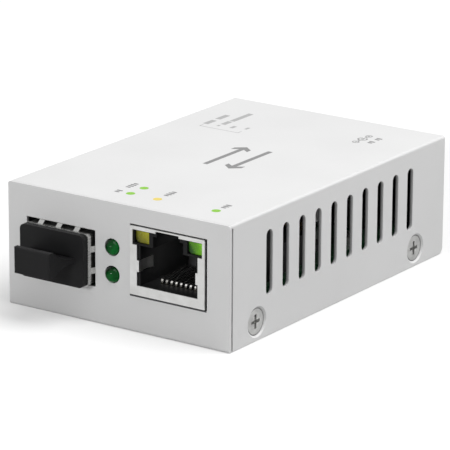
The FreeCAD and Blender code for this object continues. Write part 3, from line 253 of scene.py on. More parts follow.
@dataclass(frozen=True)
class PaintFinish:
    """Fine matt powder coat with a faint orange-peel, with painted shade on inner faces and deep in cut
    edges, and a painted shadow line under the jack.
    """

    name: str
    colour: Colour
    shade: float = 0.965
    grain: float = 5200.0
    peel: float = 900.0
    patch: float = 60.0
    grain_height: float = 0.000012
    peel_height: float = 0.00002
    roughness: tuple[float, float] = (0.46, 0.58)
    specular: float = 0.45
    # painted shade on inner faces and in cut edges, from one depth under the outer faces to another
    painted_shade: Colour = (0.045, 0.045, 0.048)
    painted_shade_from: float = 0.0002
    painted_shade_to: float = 0.0007
    # size of the painted shadow line under the jack's opening
    shadow_line_top: float = 0.00005
    shadow_line_foot: float = 0.00046
    shadow_line_side: float = 0.00025
    shadow_line_depth: float = 0.001

    def jack_gap_shadow(self, tree: Tree) -> bpy.types.NodeSocket:
        """Painted shadow line under the jack, for the narrow gap that its proud shield hides from above.

        Args:
            tree: the material's tree.

        Returns:
            One on the line along the lower edge of the jack's opening, nought elsewhere.
        """
        low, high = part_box("rj45_shield")
        across = tree.away(Axis.ACROSS, (low[0] + high[0]) / 2)
        below = tree.work("SUBTRACT", top_of("circuit_board"), tree.along(Axis.UP))
        limits = (tree.work("LESS_THAN", across, (high[0] - low[0]) / 2 + self.shadow_line_side),
                  tree.work("GREATER_THAN", below, self.shadow_line_top),
                  tree.work("LESS_THAN", below, self.shadow_line_foot),
                  tree.work("LESS_THAN", tree.along(Axis.BACK), low[1] + self.shadow_line_depth))
        return reduce(lambda one, other: tree.work("MULTIPLY", one, other), limits)

    def depth(self, tree: Tree) -> bpy.types.NodeSocket:
        """How far a point lies under the case's outer faces.

        Args:
            tree: the material's tree.

        Returns:
            The depth's socket, in metres.
        """
        low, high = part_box("base")
        level = tree.along(Axis.UP)
        depths = (tree.work("SUBTRACT", high[0], tree.away(Axis.ACROSS)),
                  tree.work("SUBTRACT", high[1], tree.away(Axis.BACK)),
                  tree.work("SUBTRACT", high[2], level),
                  tree.work("SUBTRACT", level, low[2]))
        return reduce(lambda one, other: tree.work("MINIMUM", one, other), depths)

    def material(self) -> bpy.types.Material:
        """Builds the paint."""
        tree = Tree(self.name)
        patch = tree.noise(self.patch, 2.0)
        colour = tree.blend(tree.spread(patch, 0.0, 1.0), self.colour,
                            tuple(channel * self.shade for channel in self.colour))
        grain, peel = tree.noise(self.grain, 2.0), tree.noise(self.peel, 1.0)
        normal = tree.bump(grain, self.grain_height, 0.6, tree.bump(peel, self.peel_height, 0.5))
        shader = tree.surface(Specular_IOR_Level=self.specular)
        # painted shade: dark on inner faces and deep in cut edges, and on the shadow line under the jack
        inner = tree.spread(self.depth(tree), 0.0, 1.0, self.painted_shade_from, self.painted_shade_to)
        painted_shade = tree.work("MAXIMUM", inner, self.jack_gap_shadow(tree))
        tree.join(tree.toned(painted_shade, colour, self.painted_shade), shader.inputs["Base Color"])
        tree.join(tree.spread(grain, *self.roughness), shader.inputs["Roughness"])
        tree.join(normal, shader.inputs["Normal"])
        return tree.material


@dataclass(frozen=True)
class MetalFinish:
    """Plated, drawn or turned metal with rolling marks along one axis, and painted shade deeper along an
    axis or round screw heads.
    """

    name: str
    colour: Colour
    dull: Colour
    roughness: tuple[float, float] = (0.22, 0.36)
    stretch: Point = (1.0, 0.06, 1.0)
    marks: float = 4200.0
    stains: float = 420.0
    mark_height: float = 0.000003
    # painted shade: its tone, the axis and span along which it deepens, and the lit core that it spares
    shade_tone: Colour = (0.05, 0.05, 0.05)
    shade_axis: Axis = Axis.BACK
    shade_span: tuple[float, float] | None = None
    lit_core: tuple[float, float, float, float] | None = None
    # painted shade round screw heads: their axes, where the shade starts, how soft it is and how far it
    # reaches
    rim_shade_centres: tuple[tuple[float, float], ...] = ()
    rim_shade_radius: float = 0.0023
    rim_shade_softness: float = 0.00008
    rim_shade_reach: float = 0.004

    def outside(self, tree: Tree) -> bpy.types.NodeSocket:
        """Part of the metal that takes the painted shade.

        Args:
            tree: the material's tree.

        Returns:
            Nought within the lit core, one on the walls outside it.
        """
        middle_x, middle_z, half_x, half_z = self.lit_core
        return tree.work("MAXIMUM",
                         tree.work("GREATER_THAN", tree.away(Axis.ACROSS, middle_x), half_x),
                         tree.work("GREATER_THAN", tree.away(Axis.UP, middle_z), half_z))

    def rim_shade(self, tree: Tree, centre: tuple[float, float]) -> bpy.types.NodeSocket:
        """Painted shade round the edge of one screw head, for the gap in its seat.

        Args:
            tree: the material's tree.
            centre: the head's axis, by its y and z.

        Returns:
            A value that rises at the head's edge and falls beyond it.
        """
        back, upward = tree.away(Axis.BACK, centre[0]), tree.away(Axis.UP, centre[1])
        reach = tree.work("SQRT", tree.work("ADD", tree.work("MULTIPLY", back, back),
                                            tree.work("MULTIPLY", upward, upward)))
        rising = tree.spread(reach, 0.0, 1.0, self.rim_shade_radius, self.rim_shade_radius + self.rim_shade_softness)
        return tree.work("MULTIPLY", rising, tree.work("LESS_THAN", reach, self.rim_shade_reach))

    def shade_amount(self, tree: Tree) -> bpy.types.NodeSocket:
        """How much painted shade lies on the metal along its axis.

        Args:
            tree: the material's tree.

        Returns:
            Nought at the span's start, one at its end.
        """
        start, stop = self.shade_span
        place = tree.along(self.shade_axis)
        limits = (0.0, 1.0, start, stop) if start < stop else (1.0, 0.0, stop, start)
        behind = tree.spread(place, *limits)
        if self.lit_core is None:
            return behind
        return tree.work("MULTIPLY", behind, self.outside(tree))

    def material(self) -> bpy.types.Material:
        """Builds the metal."""
        tree = Tree(self.name)
        mapping = tree.add("Mapping", Scale=self.stretch)
        tree.join(tree.coordinates.outputs["Object"], mapping.inputs["Vector"])
        marks = tree.add("TexNoise", Scale=self.marks, Detail=3.0)
        tree.join(mapping.outputs["Vector"], marks.inputs["Vector"])
        stain = tree.noise(self.stains, 3.0, 0.6)
        shader = tree.surface(Metallic=1.0)
        colour = tree.blend(tree.spread(stain, 0.0, 1.0), self.colour, self.dull)
        # painted shade along the axis and round screw heads
        if self.shade_span is not None:
            colour = tree.toned(self.shade_amount(tree), colour, self.shade_tone)
        for centre in self.rim_shade_centres:
            colour = tree.toned(self.rim_shade(tree, centre), colour, self.shade_tone)
        tree.join(colour, shader.inputs["Base Color"])
        tree.join(tree.spread(marks.outputs["Fac"], *self.roughness), shader.inputs["Roughness"])
        tree.join(tree.bump(marks.outputs["Fac"], self.mark_height), shader.inputs["Normal"])
        return tree.material


@dataclass(frozen=True)
class MouldedFinish:
    """Moulded plastic with spark-eroded grain and faint flow marks, and, where a span is given, painted
    light that turns it paler deeper inside.
    """

    name: str
    colour: Colour
    pale: Colour
    roughness: tuple[float, float] = (0.38, 0.52)
    grain: float = 3600.0
    flow: float = 240.0
    grain_height: float = 0.00001
    specular: float = 0.5
    # painted light: the paler tone and the span over which it rises
    inner: Colour = (0.08, 0.08, 0.082)
    inner_light_span: tuple[float, float] | None = None

    def material(self) -> bpy.types.Material:
        """Builds the plastic."""
        tree = Tree(self.name)
        flow = tree.noise(self.flow, 4.0, 0.6)
        grain = tree.noise(self.grain, 3.0)
        shader = tree.surface(Specular_IOR_Level=self.specular)
        colour = tree.blend(tree.spread(flow, 0.0, 1.0), self.colour, self.pale)
        # painted light, paler deeper inside
        if self.inner_light_span is not None:
            within = tree.spread(tree.along(Axis.BACK), 0.0, 1.0, *self.inner_light_span)
            colour = tree.toned(within, colour, self.inner)
        tree.join(colour, shader.inputs["Base Color"])
        tree.join(tree.spread(grain, *self.roughness), shader.inputs["Roughness"])
        tree.join(tree.bump(grain, self.grain_height, 0.7), shader.inputs["Normal"])
        return tree.material


@dataclass(frozen=True)
class LensFinish:
    """Tinted clear resin, unlit, a little cloudy inside, with painted light that makes one side paler."""

    name: str
    colour: Colour
    deep: Colour
    roughness: tuple[float, float] = (0.08, 0.16)
    transmission: float = 0.35
    cloud: float = 900.0
    specular: float = 0.5
    coat: float = 0.4
    node: str = ""
    # painted light: direction, per millimetre, towards which the tint turns paler
    lit_side: Point = (0.0, 0.0, 0.0)
    ripple: float = 2200.0
    ripple_height: float = 0.000004

    def depth(self, tree: Tree) -> bpy.types.NodeSocket:
        """How deep the tint looks: cloudy, and paler towards the lit side, which is painted light.

        Args:
            tree: the material's tree.

        Returns:
            Nought for the pale tint, one for the deep one.
        """
        low, high = (Vector(corner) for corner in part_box(self.node))
        offset = tree.add("VectorMath", operation="SUBTRACT")
        tree.join(tree.coordinates.outputs["Object"], offset.inputs[0])
        offset.inputs[1].default_value = (low + high) / 2
        along = tree.add("VectorMath", operation="DOT_PRODUCT")
        tree.join(offset.outputs["Vector"], along.inputs[0])
        along.inputs[1].default_value = Vector(self.lit_side) / MM
        side = tree.spread(along.outputs["Value"], 1.0, 0.0, -1.0, 1.0)
        cloud = tree.spread(tree.noise(self.cloud, 3.0), -0.25, 0.25)
        return tree.spread(tree.work("ADD", side, cloud), 0.0, 1.0, 0.0, 1.0)

    def material(self) -> bpy.types.Material:
        """Builds the resin."""
        tree = Tree(self.name)
        ripple = tree.noise(self.ripple, 1.0)
        shader = tree.surface(Transmission_Weight=self.transmission, IOR=1.5, Coat_Weight=self.coat,
                              Coat_Roughness=0.05, Specular_IOR_Level=self.specular)
        tree.join(tree.blend(self.depth(tree), self.colour, self.deep), shader.inputs["Base Color"])
        tree.join(tree.spread(ripple, *self.roughness), shader.inputs["Roughness"])
        tree.join(tree.bump(ripple, self.ripple_height), shader.inputs["Normal"])
        return tree.material


@dataclass(frozen=True)
class InkFinish:
    """Screen-printed ink with a faint weave of the screen in its edge and sheen."""

    name: str
    colour: Colour
    thin: Colour
    screen: float = 6500.0
    screen_height: float = 0.000004
    roughness: tuple[float, float] = (0.4, 0.55)
    specular: float = 0.4

    def material(self) -> bpy.types.Material:
        """Builds the ink."""
        tree = Tree(self.name)
        mesh = tree.noise(self.screen, 2.0)
        shader = tree.surface(Specular_IOR_Level=self.specular)
        tree.join(tree.blend(tree.spread(mesh, 0.0, 1.0), self.colour, self.thin),
                  shader.inputs["Base Color"])
        tree.join(tree.spread(mesh, *self.roughness), shader.inputs["Roughness"])
        tree.join(tree.bump(mesh, self.screen_height), shader.inputs["Normal"])
        return tree.material


@dataclass(frozen=True)
class LaminateFinish:
    """Solder mask over copper tracks on glass laminate."""

    name: str
    mask: Colour
    track: Colour
    tracks: float = 420.0
    track_edge: tuple[float, float] = (0.06, 0.1)
    track_height: float = 0.00003

    def material(self) -> bpy.types.Material:
        """Builds the board's face."""
        tree = Tree(self.name)
        cells = tree.add("TexVoronoi", distance="MANHATTAN", feature="DISTANCE_TO_EDGE",
                         Scale=self.tracks)
        tree.join(tree.coordinates.outputs["Object"], cells.inputs["Vector"])
        ways = tree.spread(cells.outputs["Distance"], 1.0, 0.0, *self.track_edge)
        shader = tree.surface(Roughness=0.3, Coat_Weight=0.5, Coat_Roughness=0.15)
        tree.join(tree.blend(ways, self.mask, self.track), shader.inputs["Base Color"])
        tree.join(tree.bump(ways, self.track_height, 0.5), shader.inputs["Normal"])
        return tree.material


# ---------------------------------------------------------------- mesh code


def mesh_object(name: str, mesh: bpy.types.Mesh, material: bpy.types.Material,
                smooth: bool = False) -> bpy.types.Object:
    """Object at the origin from a finished mesh.

    Args:
        name: the piece's name.
        mesh: its mesh, placed in the shared frame.
        material: its finish.
        smooth: whether its faces shade smoothly.

    Returns:
        The linked object.
    """
    piece = bpy.data.objects.new(name, mesh)
    bpy.context.scene.collection.objects.link(piece)
    if not mesh.materials:
        mesh.materials.append(material)
    for polygon in mesh.polygons:
        polygon.use_smooth = smooth
    return piece


def from_bmesh(name: str, shape: bmesh.types.BMesh) -> bpy.types.Mesh:
    """Turns a finished shape into a mesh whose faces look outwards.

    Args:
        name: the mesh's name.
        shape: the shape, which is freed.

    Returns:
        The mesh.
    """
    bmesh.ops.remove_doubles(shape, verts=shape.verts, dist=WELD)
    bmesh.ops.recalc_face_normals(shape, faces=shape.faces)
    mesh = bpy.data.meshes.new(name)
    shape.to_mesh(mesh)
    shape.free()
    return mesh


def prism(shape: bmesh.types.BMesh, outline: Sequence[tuple[float, float]],
          low: float, high: float) -> None:
    """Adds an upright prism on a flat outline, in millimetres.

    Args:
        shape: where it goes.
        outline: the corners in order.
        low: level of its underside.
        high: level of its top.
    """
    rings = [[shape.verts.new((x * MM, y * MM, level * MM)) for x, y in outline]
             for level in (low, high)]
    shape.faces.new(rings[0][::-1])
    shape.faces.new(rings[1])
    for index in range(len(outline)):
        after = (index + 1) % len(outline)
        shape.faces.new((rings[0][index], rings[0][after], rings[1][after], rings[1][index]))


def lathe(shape: bmesh.types.BMesh, profile: Sequence[tuple[float, float]],
          place: Callable[[float, float, float], Point], steps: int = 48) -> None:
    """Adds a closed turned form.

    Args:
        shape: where it goes.
        profile: radius and distance along the axis, in millimetres; it starts and ends on the axis.
        place: gives the point for two offsets across the axis and one along it.
        steps: faces round the axis.
    """
    rings: list[list[bmesh.types.BMVert]] = []
    for radius, along in profile:
        if radius == 0.0:
            rings.append([shape.verts.new(place(0.0, 0.0, along * MM))])
            continue
        rings.append([shape.verts.new(place(
            radius * MM * math.cos(2 * math.pi * step / steps),
            radius * MM * math.sin(2 * math.pi * step / steps), along * MM)) for step in range(steps)])
    for one, other in zip(rings, rings[1:]):
        for step in range(steps):
            after = (step + 1) % steps
            corners = [one[step % len(one)], one[after % len(one)],
                       other[after % len(other)], other[step % len(other)]]
            unique = list(dict.fromkeys(corners))
            if len(unique) > 2:
                shape.faces.new(unique)


# ---------------------------------------------------------------- repeats by Geometry Nodes


@dataclass(frozen=True)
class RepeatRecipe:
    """A turned bead repeated at given places: one node tree with named sizes."""

    name: str
    diameter: float
    height: float
    tip: float = 1.0
    sides: int = 24

    def tree(self, material: bpy.types.Material) -> bpy.types.NodeTree:
        """Builds the tree: a cone at each point, realised and given its finish.

        Args:
            material: the finish of every copy.

        Returns:
            The node group.
        """
        group = bpy.data.node_groups.new(self.name, "GeometryNodeTree")
        sides = group.interface
        sides.new_socket("Places", in_out="INPUT", socket_type="NodeSocketGeometry")
        for label in ("Diameter", "Height", "Tip Share"):
            sides.new_socket(label, in_out="INPUT", socket_type="NodeSocketFloat")
        sides.new_socket("Sides", in_out="INPUT", socket_type="NodeSocketInt")
        sides.new_socket("Result", in_out="OUTPUT", socket_type="NodeSocketGeometry")
        nodes, links = group.nodes, group.links
        given, result = nodes.new("NodeGroupInput"), nodes.new("NodeGroupOutput")
        radius = nodes.new("ShaderNodeMath")
        radius.operation = "MULTIPLY"
        radius.inputs[1].default_value = 0.5
        links.new(given.outputs["Diameter"], radius.inputs[0])
        tip = nodes.new("ShaderNodeMath")
        tip.operation = "MULTIPLY"
        links.new(radius.outputs[0], tip.inputs[0])
        links.new(given.outputs["Tip Share"], tip.inputs[1])
        bead = nodes.new("GeometryNodeMeshCone")
        links.new(given.outputs["Sides"], bead.inputs["Vertices"])
        links.new(radius.outputs[0], bead.inputs["Radius Bottom"])
        links.new(tip.outputs[0], bead.inputs["Radius Top"])
        links.new(given.outputs["Height"], bead.inputs["Depth"])
        copies = nodes.new("GeometryNodeInstanceOnPoints")
        links.new(given.outputs["Places"], copies.inputs["Points"])
        links.new(bead.outputs["Mesh"], copies.inputs["Instance"])
        solid = nodes.new("GeometryNodeRealizeInstances")
        links.new(copies.outputs["Instances"], solid.inputs["Geometry"])
        finish = nodes.new("GeometryNodeSetMaterial")
        finish.inputs["Material"].default_value = material
        links.new(solid.outputs["Geometry"], finish.inputs["Geometry"])
        links.new(finish.outputs["Geometry"], result.inputs["Result"])
        return group

    def build(self, places: Iterable[Point], material: bpy.types.Material) -> bpy.types.Object:
        """Repeats the bead and turns the result into a plain mesh.

        Args:
            places: where each copy's underside stands, in millimetres.
            material: the finish of every copy.

        Returns:
            The finished piece.
        """
        points = bpy.data.meshes.new(self.name + "_places")
        points.from_pydata([tuple(value * MM for value in place) for place in places], [], [])
        piece = bpy.data.objects.new(self.name, points)
        bpy.context.scene.collection.objects.link(piece)
        group = self.tree(material)
        modifier = piece.modifiers.new("repeat", "NODES")
        modifier.node_group = group
        wanted = {"Diameter": self.diameter * MM, "Height": self.height * MM, "Tip Share": self.tip,
                  "Sides": self.sides}
        for item in group.interface.items_tree:
            if item.in_out == "INPUT" and item.name in wanted:
                modifier[item.identifier] = wanted[item.name]
        seen = piece.evaluated_get(bpy.context.evaluated_depsgraph_get())
        mesh = bpy.data.meshes.new_from_object(seen)
        piece.modifiers.clear()
        piece.data = mesh
        if not mesh.materials:
            mesh.materials.append(material)
        return piece


# ---------------------------------------------------------------- finishes

JACK_FRONT = front_of("rj45_shield")
INSULATOR_FRONT = front_of("rj45_insulator")
NOSE_TOP = top_of("rj45_contacts")
SCREWS_LOW, SCREWS_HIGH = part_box("cover_screws")
HEAD_RADIUS = 0.0025
HEAD_LEVEL = (SCREWS_LOW[2] + SCREWS_HIGH[2]) / 2
# middle of the jack's mouth in x and z, then its half sizes; the shield's painted shade spares it
JACK_CORE = (0.011, top_of("circuit_board") + 0.0063, 0.00775, 0.0061)

PAINT = PaintFinish("case_paint_matt", (0.64, 0.64, 0.64))
# screws: painted shade round the edge of each head
ZINC = MetalFinish("screw_zinc_bright", (0.66, 0.66, 0.65), (0.50, 0.50, 0.49), (0.3, 0.46),
                   (1.0, 1.0, 1.0), shade_tone=(0.16, 0.16, 0.16),
                   rim_shade_centres=((SCREWS_LOW[1] + HEAD_RADIUS, HEAD_LEVEL),
                                (SCREWS_HIGH[1] - HEAD_RADIUS, HEAD_LEVEL)))
BRASS = MetalFinish("post_brass_turned", (0.72, 0.56, 0.28), (0.60, 0.45, 0.20), (0.2, 0.34),
                    (0.1, 0.1, 1.0))
# cage: tin plate given a dark colour, painted shade for the cage that lies in shadow behind the panel and
# between the fingers
CAGE = MetalFinish("cage_tin_plate_painted_shade", (0.16, 0.16, 0.155), (0.10, 0.10, 0.097), (0.4, 0.55))
COLLAR = MetalFinish("collar_spring_steel", (0.62, 0.62, 0.61), (0.48, 0.48, 0.47))
# shield: painted shade behind its front face, sparing the lit mouth of the jack
SHIELD = MetalFinish("shield_nickel_plate", (0.79, 0.79, 0.785), (0.69, 0.69, 0.675), (0.3, 0.42),
                     (0.06, 1.0, 1.0), shade_span=(JACK_FRONT + 0.0003, JACK_FRONT + 0.0007),
                     lit_core=JACK_CORE)
TIN = MetalFinish("terminal_tin", (0.70, 0.70, 0.70), (0.55, 0.55, 0.54), (0.28, 0.45),
                  (1.0, 1.0, 0.1))
GOLD = MetalFinish("contact_gold_flash", (0.95, 0.72, 0.32), (0.86, 0.60, 0.22), (0.18, 0.3))
# contacts: painted shade below their noses
CONTACT = MetalFinish("contact_bright_flash", (0.98, 0.97, 0.94), (0.94, 0.92, 0.87), (0.16, 0.26),
                      shade_tone=(0.22, 0.20, 0.16), shade_axis=Axis.UP,
                      shade_span=(NOSE_TOP - 0.0012, NOSE_TOP - 0.0016))
CAN = MetalFinish("can_drawn_aluminium", (0.80, 0.80, 0.81), (0.68, 0.68, 0.69), (0.3, 0.42),
                  (1.0, 1.0, 0.05))
CRYSTAL = MetalFinish("crystal_drawn_steel", (0.76, 0.76, 0.74), (0.64, 0.64, 0.62), (0.24, 0.36))
SOLDER = MetalFinish("solder_bright", (0.74, 0.74, 0.73), (0.6, 0.6, 0.59), (0.14, 0.3),
                     (1.0, 1.0, 1.0), 900.0)
PLUG = MouldedFinish("plug_moulded_black", (0.0085, 0.0085, 0.009), (0.0115, 0.0115, 0.012),
                     (0.42, 0.56), specular=0.14)
# insulator: painted light, paler deeper inside the jack
INSERT = MouldedFinish("insulator_moulded_black", (0.010, 0.010, 0.0105), (0.014, 0.014, 0.0145),
                       (0.34, 0.48), specular=0.12,
                       inner_light_span=(INSULATOR_FRONT + 0.0008, INSULATOR_FRONT + 0.006))
HOUSING = MouldedFinish("housing_moulded_black", (0.008, 0.008, 0.0085), (0.012, 0.012, 0.0125),
                        (0.3, 0.44), specular=0.2)
EPOXY = MouldedFinish("chip_moulded_epoxy", (0.03, 0.03, 0.032), (0.042, 0.042, 0.044),
                      (0.5, 0.65), 6000.0)
FERRITE = MouldedFinish("core_sintered_ferrite", (0.07, 0.07, 0.072), (0.1, 0.1, 0.1),
                        (0.6, 0.75), 5000.0)
CERAMIC = MouldedFinish("chip_fired_ceramic", (0.50, 0.38, 0.24), (0.42, 0.31, 0.2),
                        (0.5, 0.62), 7000.0)
# lenses and lamp domes: painted light, paler towards one side
YELLOW = LensFinish("lens_yellow_tint", (0.48, 0.46, 0.022), (0.07, 0.072, 0.008), (0.16, 0.3),
                    transmission=0.1, cloud=420.0, specular=0.25, coat=0.0,
                    node="rj45_yellow_light", lit_side=(0.45, 0.0, 0.35))
GREEN = replace(YELLOW, name="lens_green_tint", colour=(0.27, 0.76, 0.02), deep=(0.02, 0.09, 0.01),
                node="rj45_green_light", lit_side=(0.5, 0.0, 0.25))
UPPER_LAMP = LensFinish("lamp_green_tint_upper", (0.001, 0.115, 0.016), (0.0003, 0.006, 0.0012),
                        (0.04, 0.08), transmission=0.0, cloud=700.0, specular=0.13, coat=0.0,
                        node="power_led", lit_side=(0.35, 0.0, -0.75))
LOWER_LAMP = replace(UPPER_LAMP, name="lamp_green_tint_lower", node="link_led",
                     lit_side=(0.75, 0.0, -0.45))
LAMINATE = LaminateFinish("board_solder_mask", (0.006, 0.036, 0.014), (0.010, 0.055, 0.022))
GREY_INK = InkFinish("print_grey", (0.185, 0.185, 0.185), (0.22, 0.22, 0.22))
PALE_INK = InkFinish("print_pale_grey", (0.33, 0.33, 0.33), (0.38, 0.38, 0.38))
MID_INK = InkFinish("print_mid_grey", (0.13, 0.13, 0.13), (0.17, 0.17, 0.17))
GREEN_INK = InkFinish("print_green", (0.185, 0.45, 0.02), (0.22, 0.49, 0.03))
YELLOW_INK = InkFinish("print_yellow", (0.66, 0.52, 0.10), (0.70, 0.56, 0.13))
Finish = PaintFinish | MetalFinish | MouldedFinish | LensFinish | InkFinish | LaminateFinish

NODE_FINISHES = {
    PAINT: ("cover", "base"), ZINC: ("cover_screws", "board_screws"), BRASS: ("board_standoffs",),
    LAMINATE: ("circuit_board",), CAGE: ("sfp_cage",), COLLAR: ("sfp_spring_fingers",),
    HOUSING: ("sfp_connector", "led_holder", "dc_jack_housing"), INSERT: ("rj45_insulator",),
    GOLD: ("sfp_contacts",), CONTACT: ("rj45_contacts",), PLUG: ("dust_plug",),
    SHIELD: ("rj45_shield",),
    YELLOW: ("rj45_yellow_light",), GREEN: ("rj45_green_light",),
    UPPER_LAMP: ("power_led",), LOWER_LAMP: ("link_led",),
    TIN: ("led_leads", "chip_leads", "dc_jack_pin", "dc_jack_spring"),
    EPOXY: ("converter_chip", "memory_chip", "regulator", "lan_transformer"),
    CAN: ("capacitors",), CRYSTAL: ("crystal",), FERRITE: ("inductor",), CERAMIC: ("chip_parts",),
}


@dataclass
class FrameFinishes:
    """Finishes of the pieces that keep their CAD form."""

    made: dict[str, bpy.types.Material] = field(default_factory=dict)

    def material(self, finish: Finish) -> bpy.types.Material:
        """Material of a finish, made once.

        Args:
            finish: one of the finish classes.

        Returns:
            Its material.
        """
        if finish.name not in self.made:
            self.made[finish.name] = finish.material()
        return self.made[finish.name]

    def dress(self) -> None:
        """Puts each finish on its nodes."""
        for finish, nodes in NODE_FINISHES.items():
            for node in nodes:
                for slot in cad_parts[node].material_slots:
                    slot.material = self.material(finish)
            LOG.info("%s on %s", finish.name, ", ".join(nodes))


@dataclass
class CasePrint:
    """Screen print on the cover: lamp dots, tallies, plain bars and icons, all in millimetres."""

    finishes: FrameFinishes
    film: float = 0.012
    dot_diameter: float = 1.65
    front: float = -35.5
    green_dots: tuple[tuple[float, float], ...] = ((-1.5, 6.2), (-1.5, 10.25), (16.75, 6.3))
    yellow_dots: tuple[tuple[float, float], ...] = ((4.4, 6.1),)
    dot_sides: int = 40
    tallies: tuple[tuple[float, float, int], ...] = (
        (-4.15, 5.55, 2), (-4.2, 8.95, 4), (4.35, 8.6, 4), (16.75, 8.35, 3),
        (15.1, 58.5, 2), (15.1, 61.05, 2))
    tally_height: float = 1.2
    tally_stroke: float = 0.46
    tally_pitch: float = 0.8
    short_tally: float = 0.8
    bars: tuple[tuple[float, float, float, float], ...] = (
        (-17.4, 51.9, 1.15, 3.0), (-17.4, 56.0, 1.15, 3.4), (-14.6, 51.9, 0.5, 0.8),
        (-14.4, 53.4, 1.1, 2.5), (-14.3, 56.3, 1.1, 6.5), (-11.7, 52.2, 0.8, 1.5),
        (-9.0, 53.0, 0.6, 1.3),
        (-13.1, 50.1, 8.7, 0.14), (-17.45, 50.1, 0.14, 1.3), (-8.75, 50.1, 0.14, 1.3))
    arrow_centre: tuple[float, float] = (0.9, 36.1)
    arrow_length: float = 13.6
    arrow_gap: float = 5.2
    arrow_stroke: float = 1.0
    arrow_head: float = 3.6
    barb_sweep: float = 0.9
    barb_width: float = 1.25
    mark_across: float = 12.6
    mark_rings: tuple[tuple[float, float, float, float, float], ...] = (
        (60.15, 0.85, 0.26, 120.0, 300.0), (57.8, 0.6, 0.2, 0.0, 360.0),
        (62.4, 0.6, 0.2, 0.0, 360.0))
    mark_strokes: tuple[tuple[float, float, float], ...] = (
        (59.9, 0.5, 0.5), (60.4, 0.22, 1.4), (58.4, 0.22, 0.9), (57.5, 0.16, 0.6),
        (62.1, 0.16, 0.6), (62.32, 0.6, 0.16))

    def level(self) -> float:
        """Underside of the ink film, in millimetres."""
        return top_of("cover") / MM + 0.002

    def place(self, across: float, back: float) -> tuple[float, float]:
        """Place on the cover from the distance right of the middle and back from the front panel."""
        return across, self.front + back

    def finish_piece(self, piece: bpy.types.Object) -> None:
        """Fixes a print piece to the case."""
        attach(piece, "converter")
        LOG.info("made %s", piece.name)

    def print_shape(self, name: str, shape: bmesh.types.BMesh, ink: InkFinish) -> None:
        """Makes a print piece.

        Args:
            name: the piece's name.
            shape: its film of ink.
            ink: its finish.
        """
        self.finish_piece(mesh_object(name, from_bmesh(name, shape), self.finishes.material(ink)))

    def dots(self) -> None:
        """Coloured dots that mark the lamps."""
        for name, finish, spots in (("print_green_dots", GREEN_INK, self.green_dots),
                                    ("print_yellow_dot", YELLOW_INK, self.yellow_dots)):
            recipe = RepeatRecipe(name, self.dot_diameter, self.film, sides=self.dot_sides)
            places = [(*self.place(*spot), self.level()) for spot in spots]
            self.finish_piece(recipe.build(places, self.finishes.material(finish)))

    def block(self, shape: bmesh.types.BMesh, across: float, back: float, width: float,
              length: float) -> None:
        """Adds one printed bar.

        Args:
            shape: where it goes.
            across: its middle, right of the case's middle.
            back: its near end, behind the front panel.
            width: its size across.
            length: its size to the back.
        """
        x, y = self.place(across, back)
        prism(shape, [(x - width / 2, y), (x + width / 2, y), (x + width / 2, y + length),
                      (x - width / 2, y + length)], self.level(), self.level() + self.film)

    def plain_bars(self) -> None:
        """Pale bars and a thin bracket near the rear left corner."""
        shape = bmesh.new()
        for bar in self.bars:
            self.block(shape, *bar)
        self.print_shape("print_pale_bars", shape, PALE_INK)

    def arrows(self) -> None:
        """Two opposed arrows in the middle of the cover."""
        shape = bmesh.new()
        half, stroke, head = self.arrow_length / 2, self.arrow_stroke / 2, self.arrow_head / 2
        neck = half - head
        barb = neck - self.barb_sweep
        side = [(neck, -stroke), (barb, -head), (barb + self.barb_width, -head)]
        outline = [(-half, -stroke), *side, (half, 0.0),
                   *((along, -across) for along, across in side[::-1]), (-half, stroke)]
        middle_x, middle_y = self.place(*self.arrow_centre)
        for turn in (1, -1):
            corners = [(middle_x + turn * (across - self.arrow_gap / 2), middle_y + turn * along)
                       for along, across in outline]
            prism(shape, corners, self.level(), self.level() + self.film)
        self.print_shape("print_arrows", shape, GREY_INK)

    def ring(self, shape: bmesh.types.BMesh, across: float, back: float, radius: float, stroke: float,
             start: float, turn: float, steps: int = 28) -> None:
        """Adds an arc-shaped stroke.

        Args:
            shape: where it goes.
            across: its centre, right of the case's middle.
            back: its centre, behind the front panel.
            radius: radius of the stroke's middle.
            stroke: the stroke's width.
            start: first angle in degrees from +X.
            turn: how far it runs, in degrees.
            steps: straight pieces in it.
        """
        x, y = self.place(across, back)
        low, high = self.level() * MM, (self.level() + self.film) * MM
        closed = turn >= 360.0
        sections = []
        for step in range(steps + (0 if closed else 1)):
            angle = math.radians(start + turn * step / steps)
            sections.append([shape.verts.new((
                (x + r * math.cos(angle)) * MM, (y + r * math.sin(angle)) * MM, z))
                for r, z in ((radius - stroke / 2, low), (radius + stroke / 2, low),
                             (radius + stroke / 2, high), (radius - stroke / 2, high))])
        pairs = list(zip(sections, sections[1:])) + ([(sections[-1], sections[0])] if closed else [])
        for one, other in pairs:
            for index in range(4):
                after = (index + 1) % 4
                shape.faces.new((one[index], one[after], other[after], other[index]))
        if not closed:
            shape.faces.new(sections[0][::-1])
            shape.faces.new(sections[-1])

    def polarity_mark(self) -> None:
        """Centre-positive mark over the DC inlet."""
        shape = bmesh.new()
        for back, radius, stroke, start, turn in self.mark_rings:
            self.ring(shape, self.mark_across, back, radius, stroke, start, turn)
        for back, width, length in self.mark_strokes:
            self.block(shape, self.mark_across, back, width, length)
        self.print_shape("print_polarity_mark", shape, GREY_INK)

    def tally_marks(self) -> None:
        """Short strokes that count out each lamp's mark and the inlet's two, reading towards the rear."""
        shape = bmesh.new()
        for across, back, count in self.tallies:
            for index in range(count):
                height = self.tally_height * (1.0 if index % 3 else self.short_tally)
                self.block(shape, across, back + index * self.tally_pitch, height,
                           self.tally_stroke)
        self.print_shape("print_tally_marks", shape, MID_INK)

    def build(self) -> None:
        """Makes every mark of the print."""
        self.dots()
        self.plain_bars()
        self.arrows()
        self.polarity_mark()
        self.tally_marks()


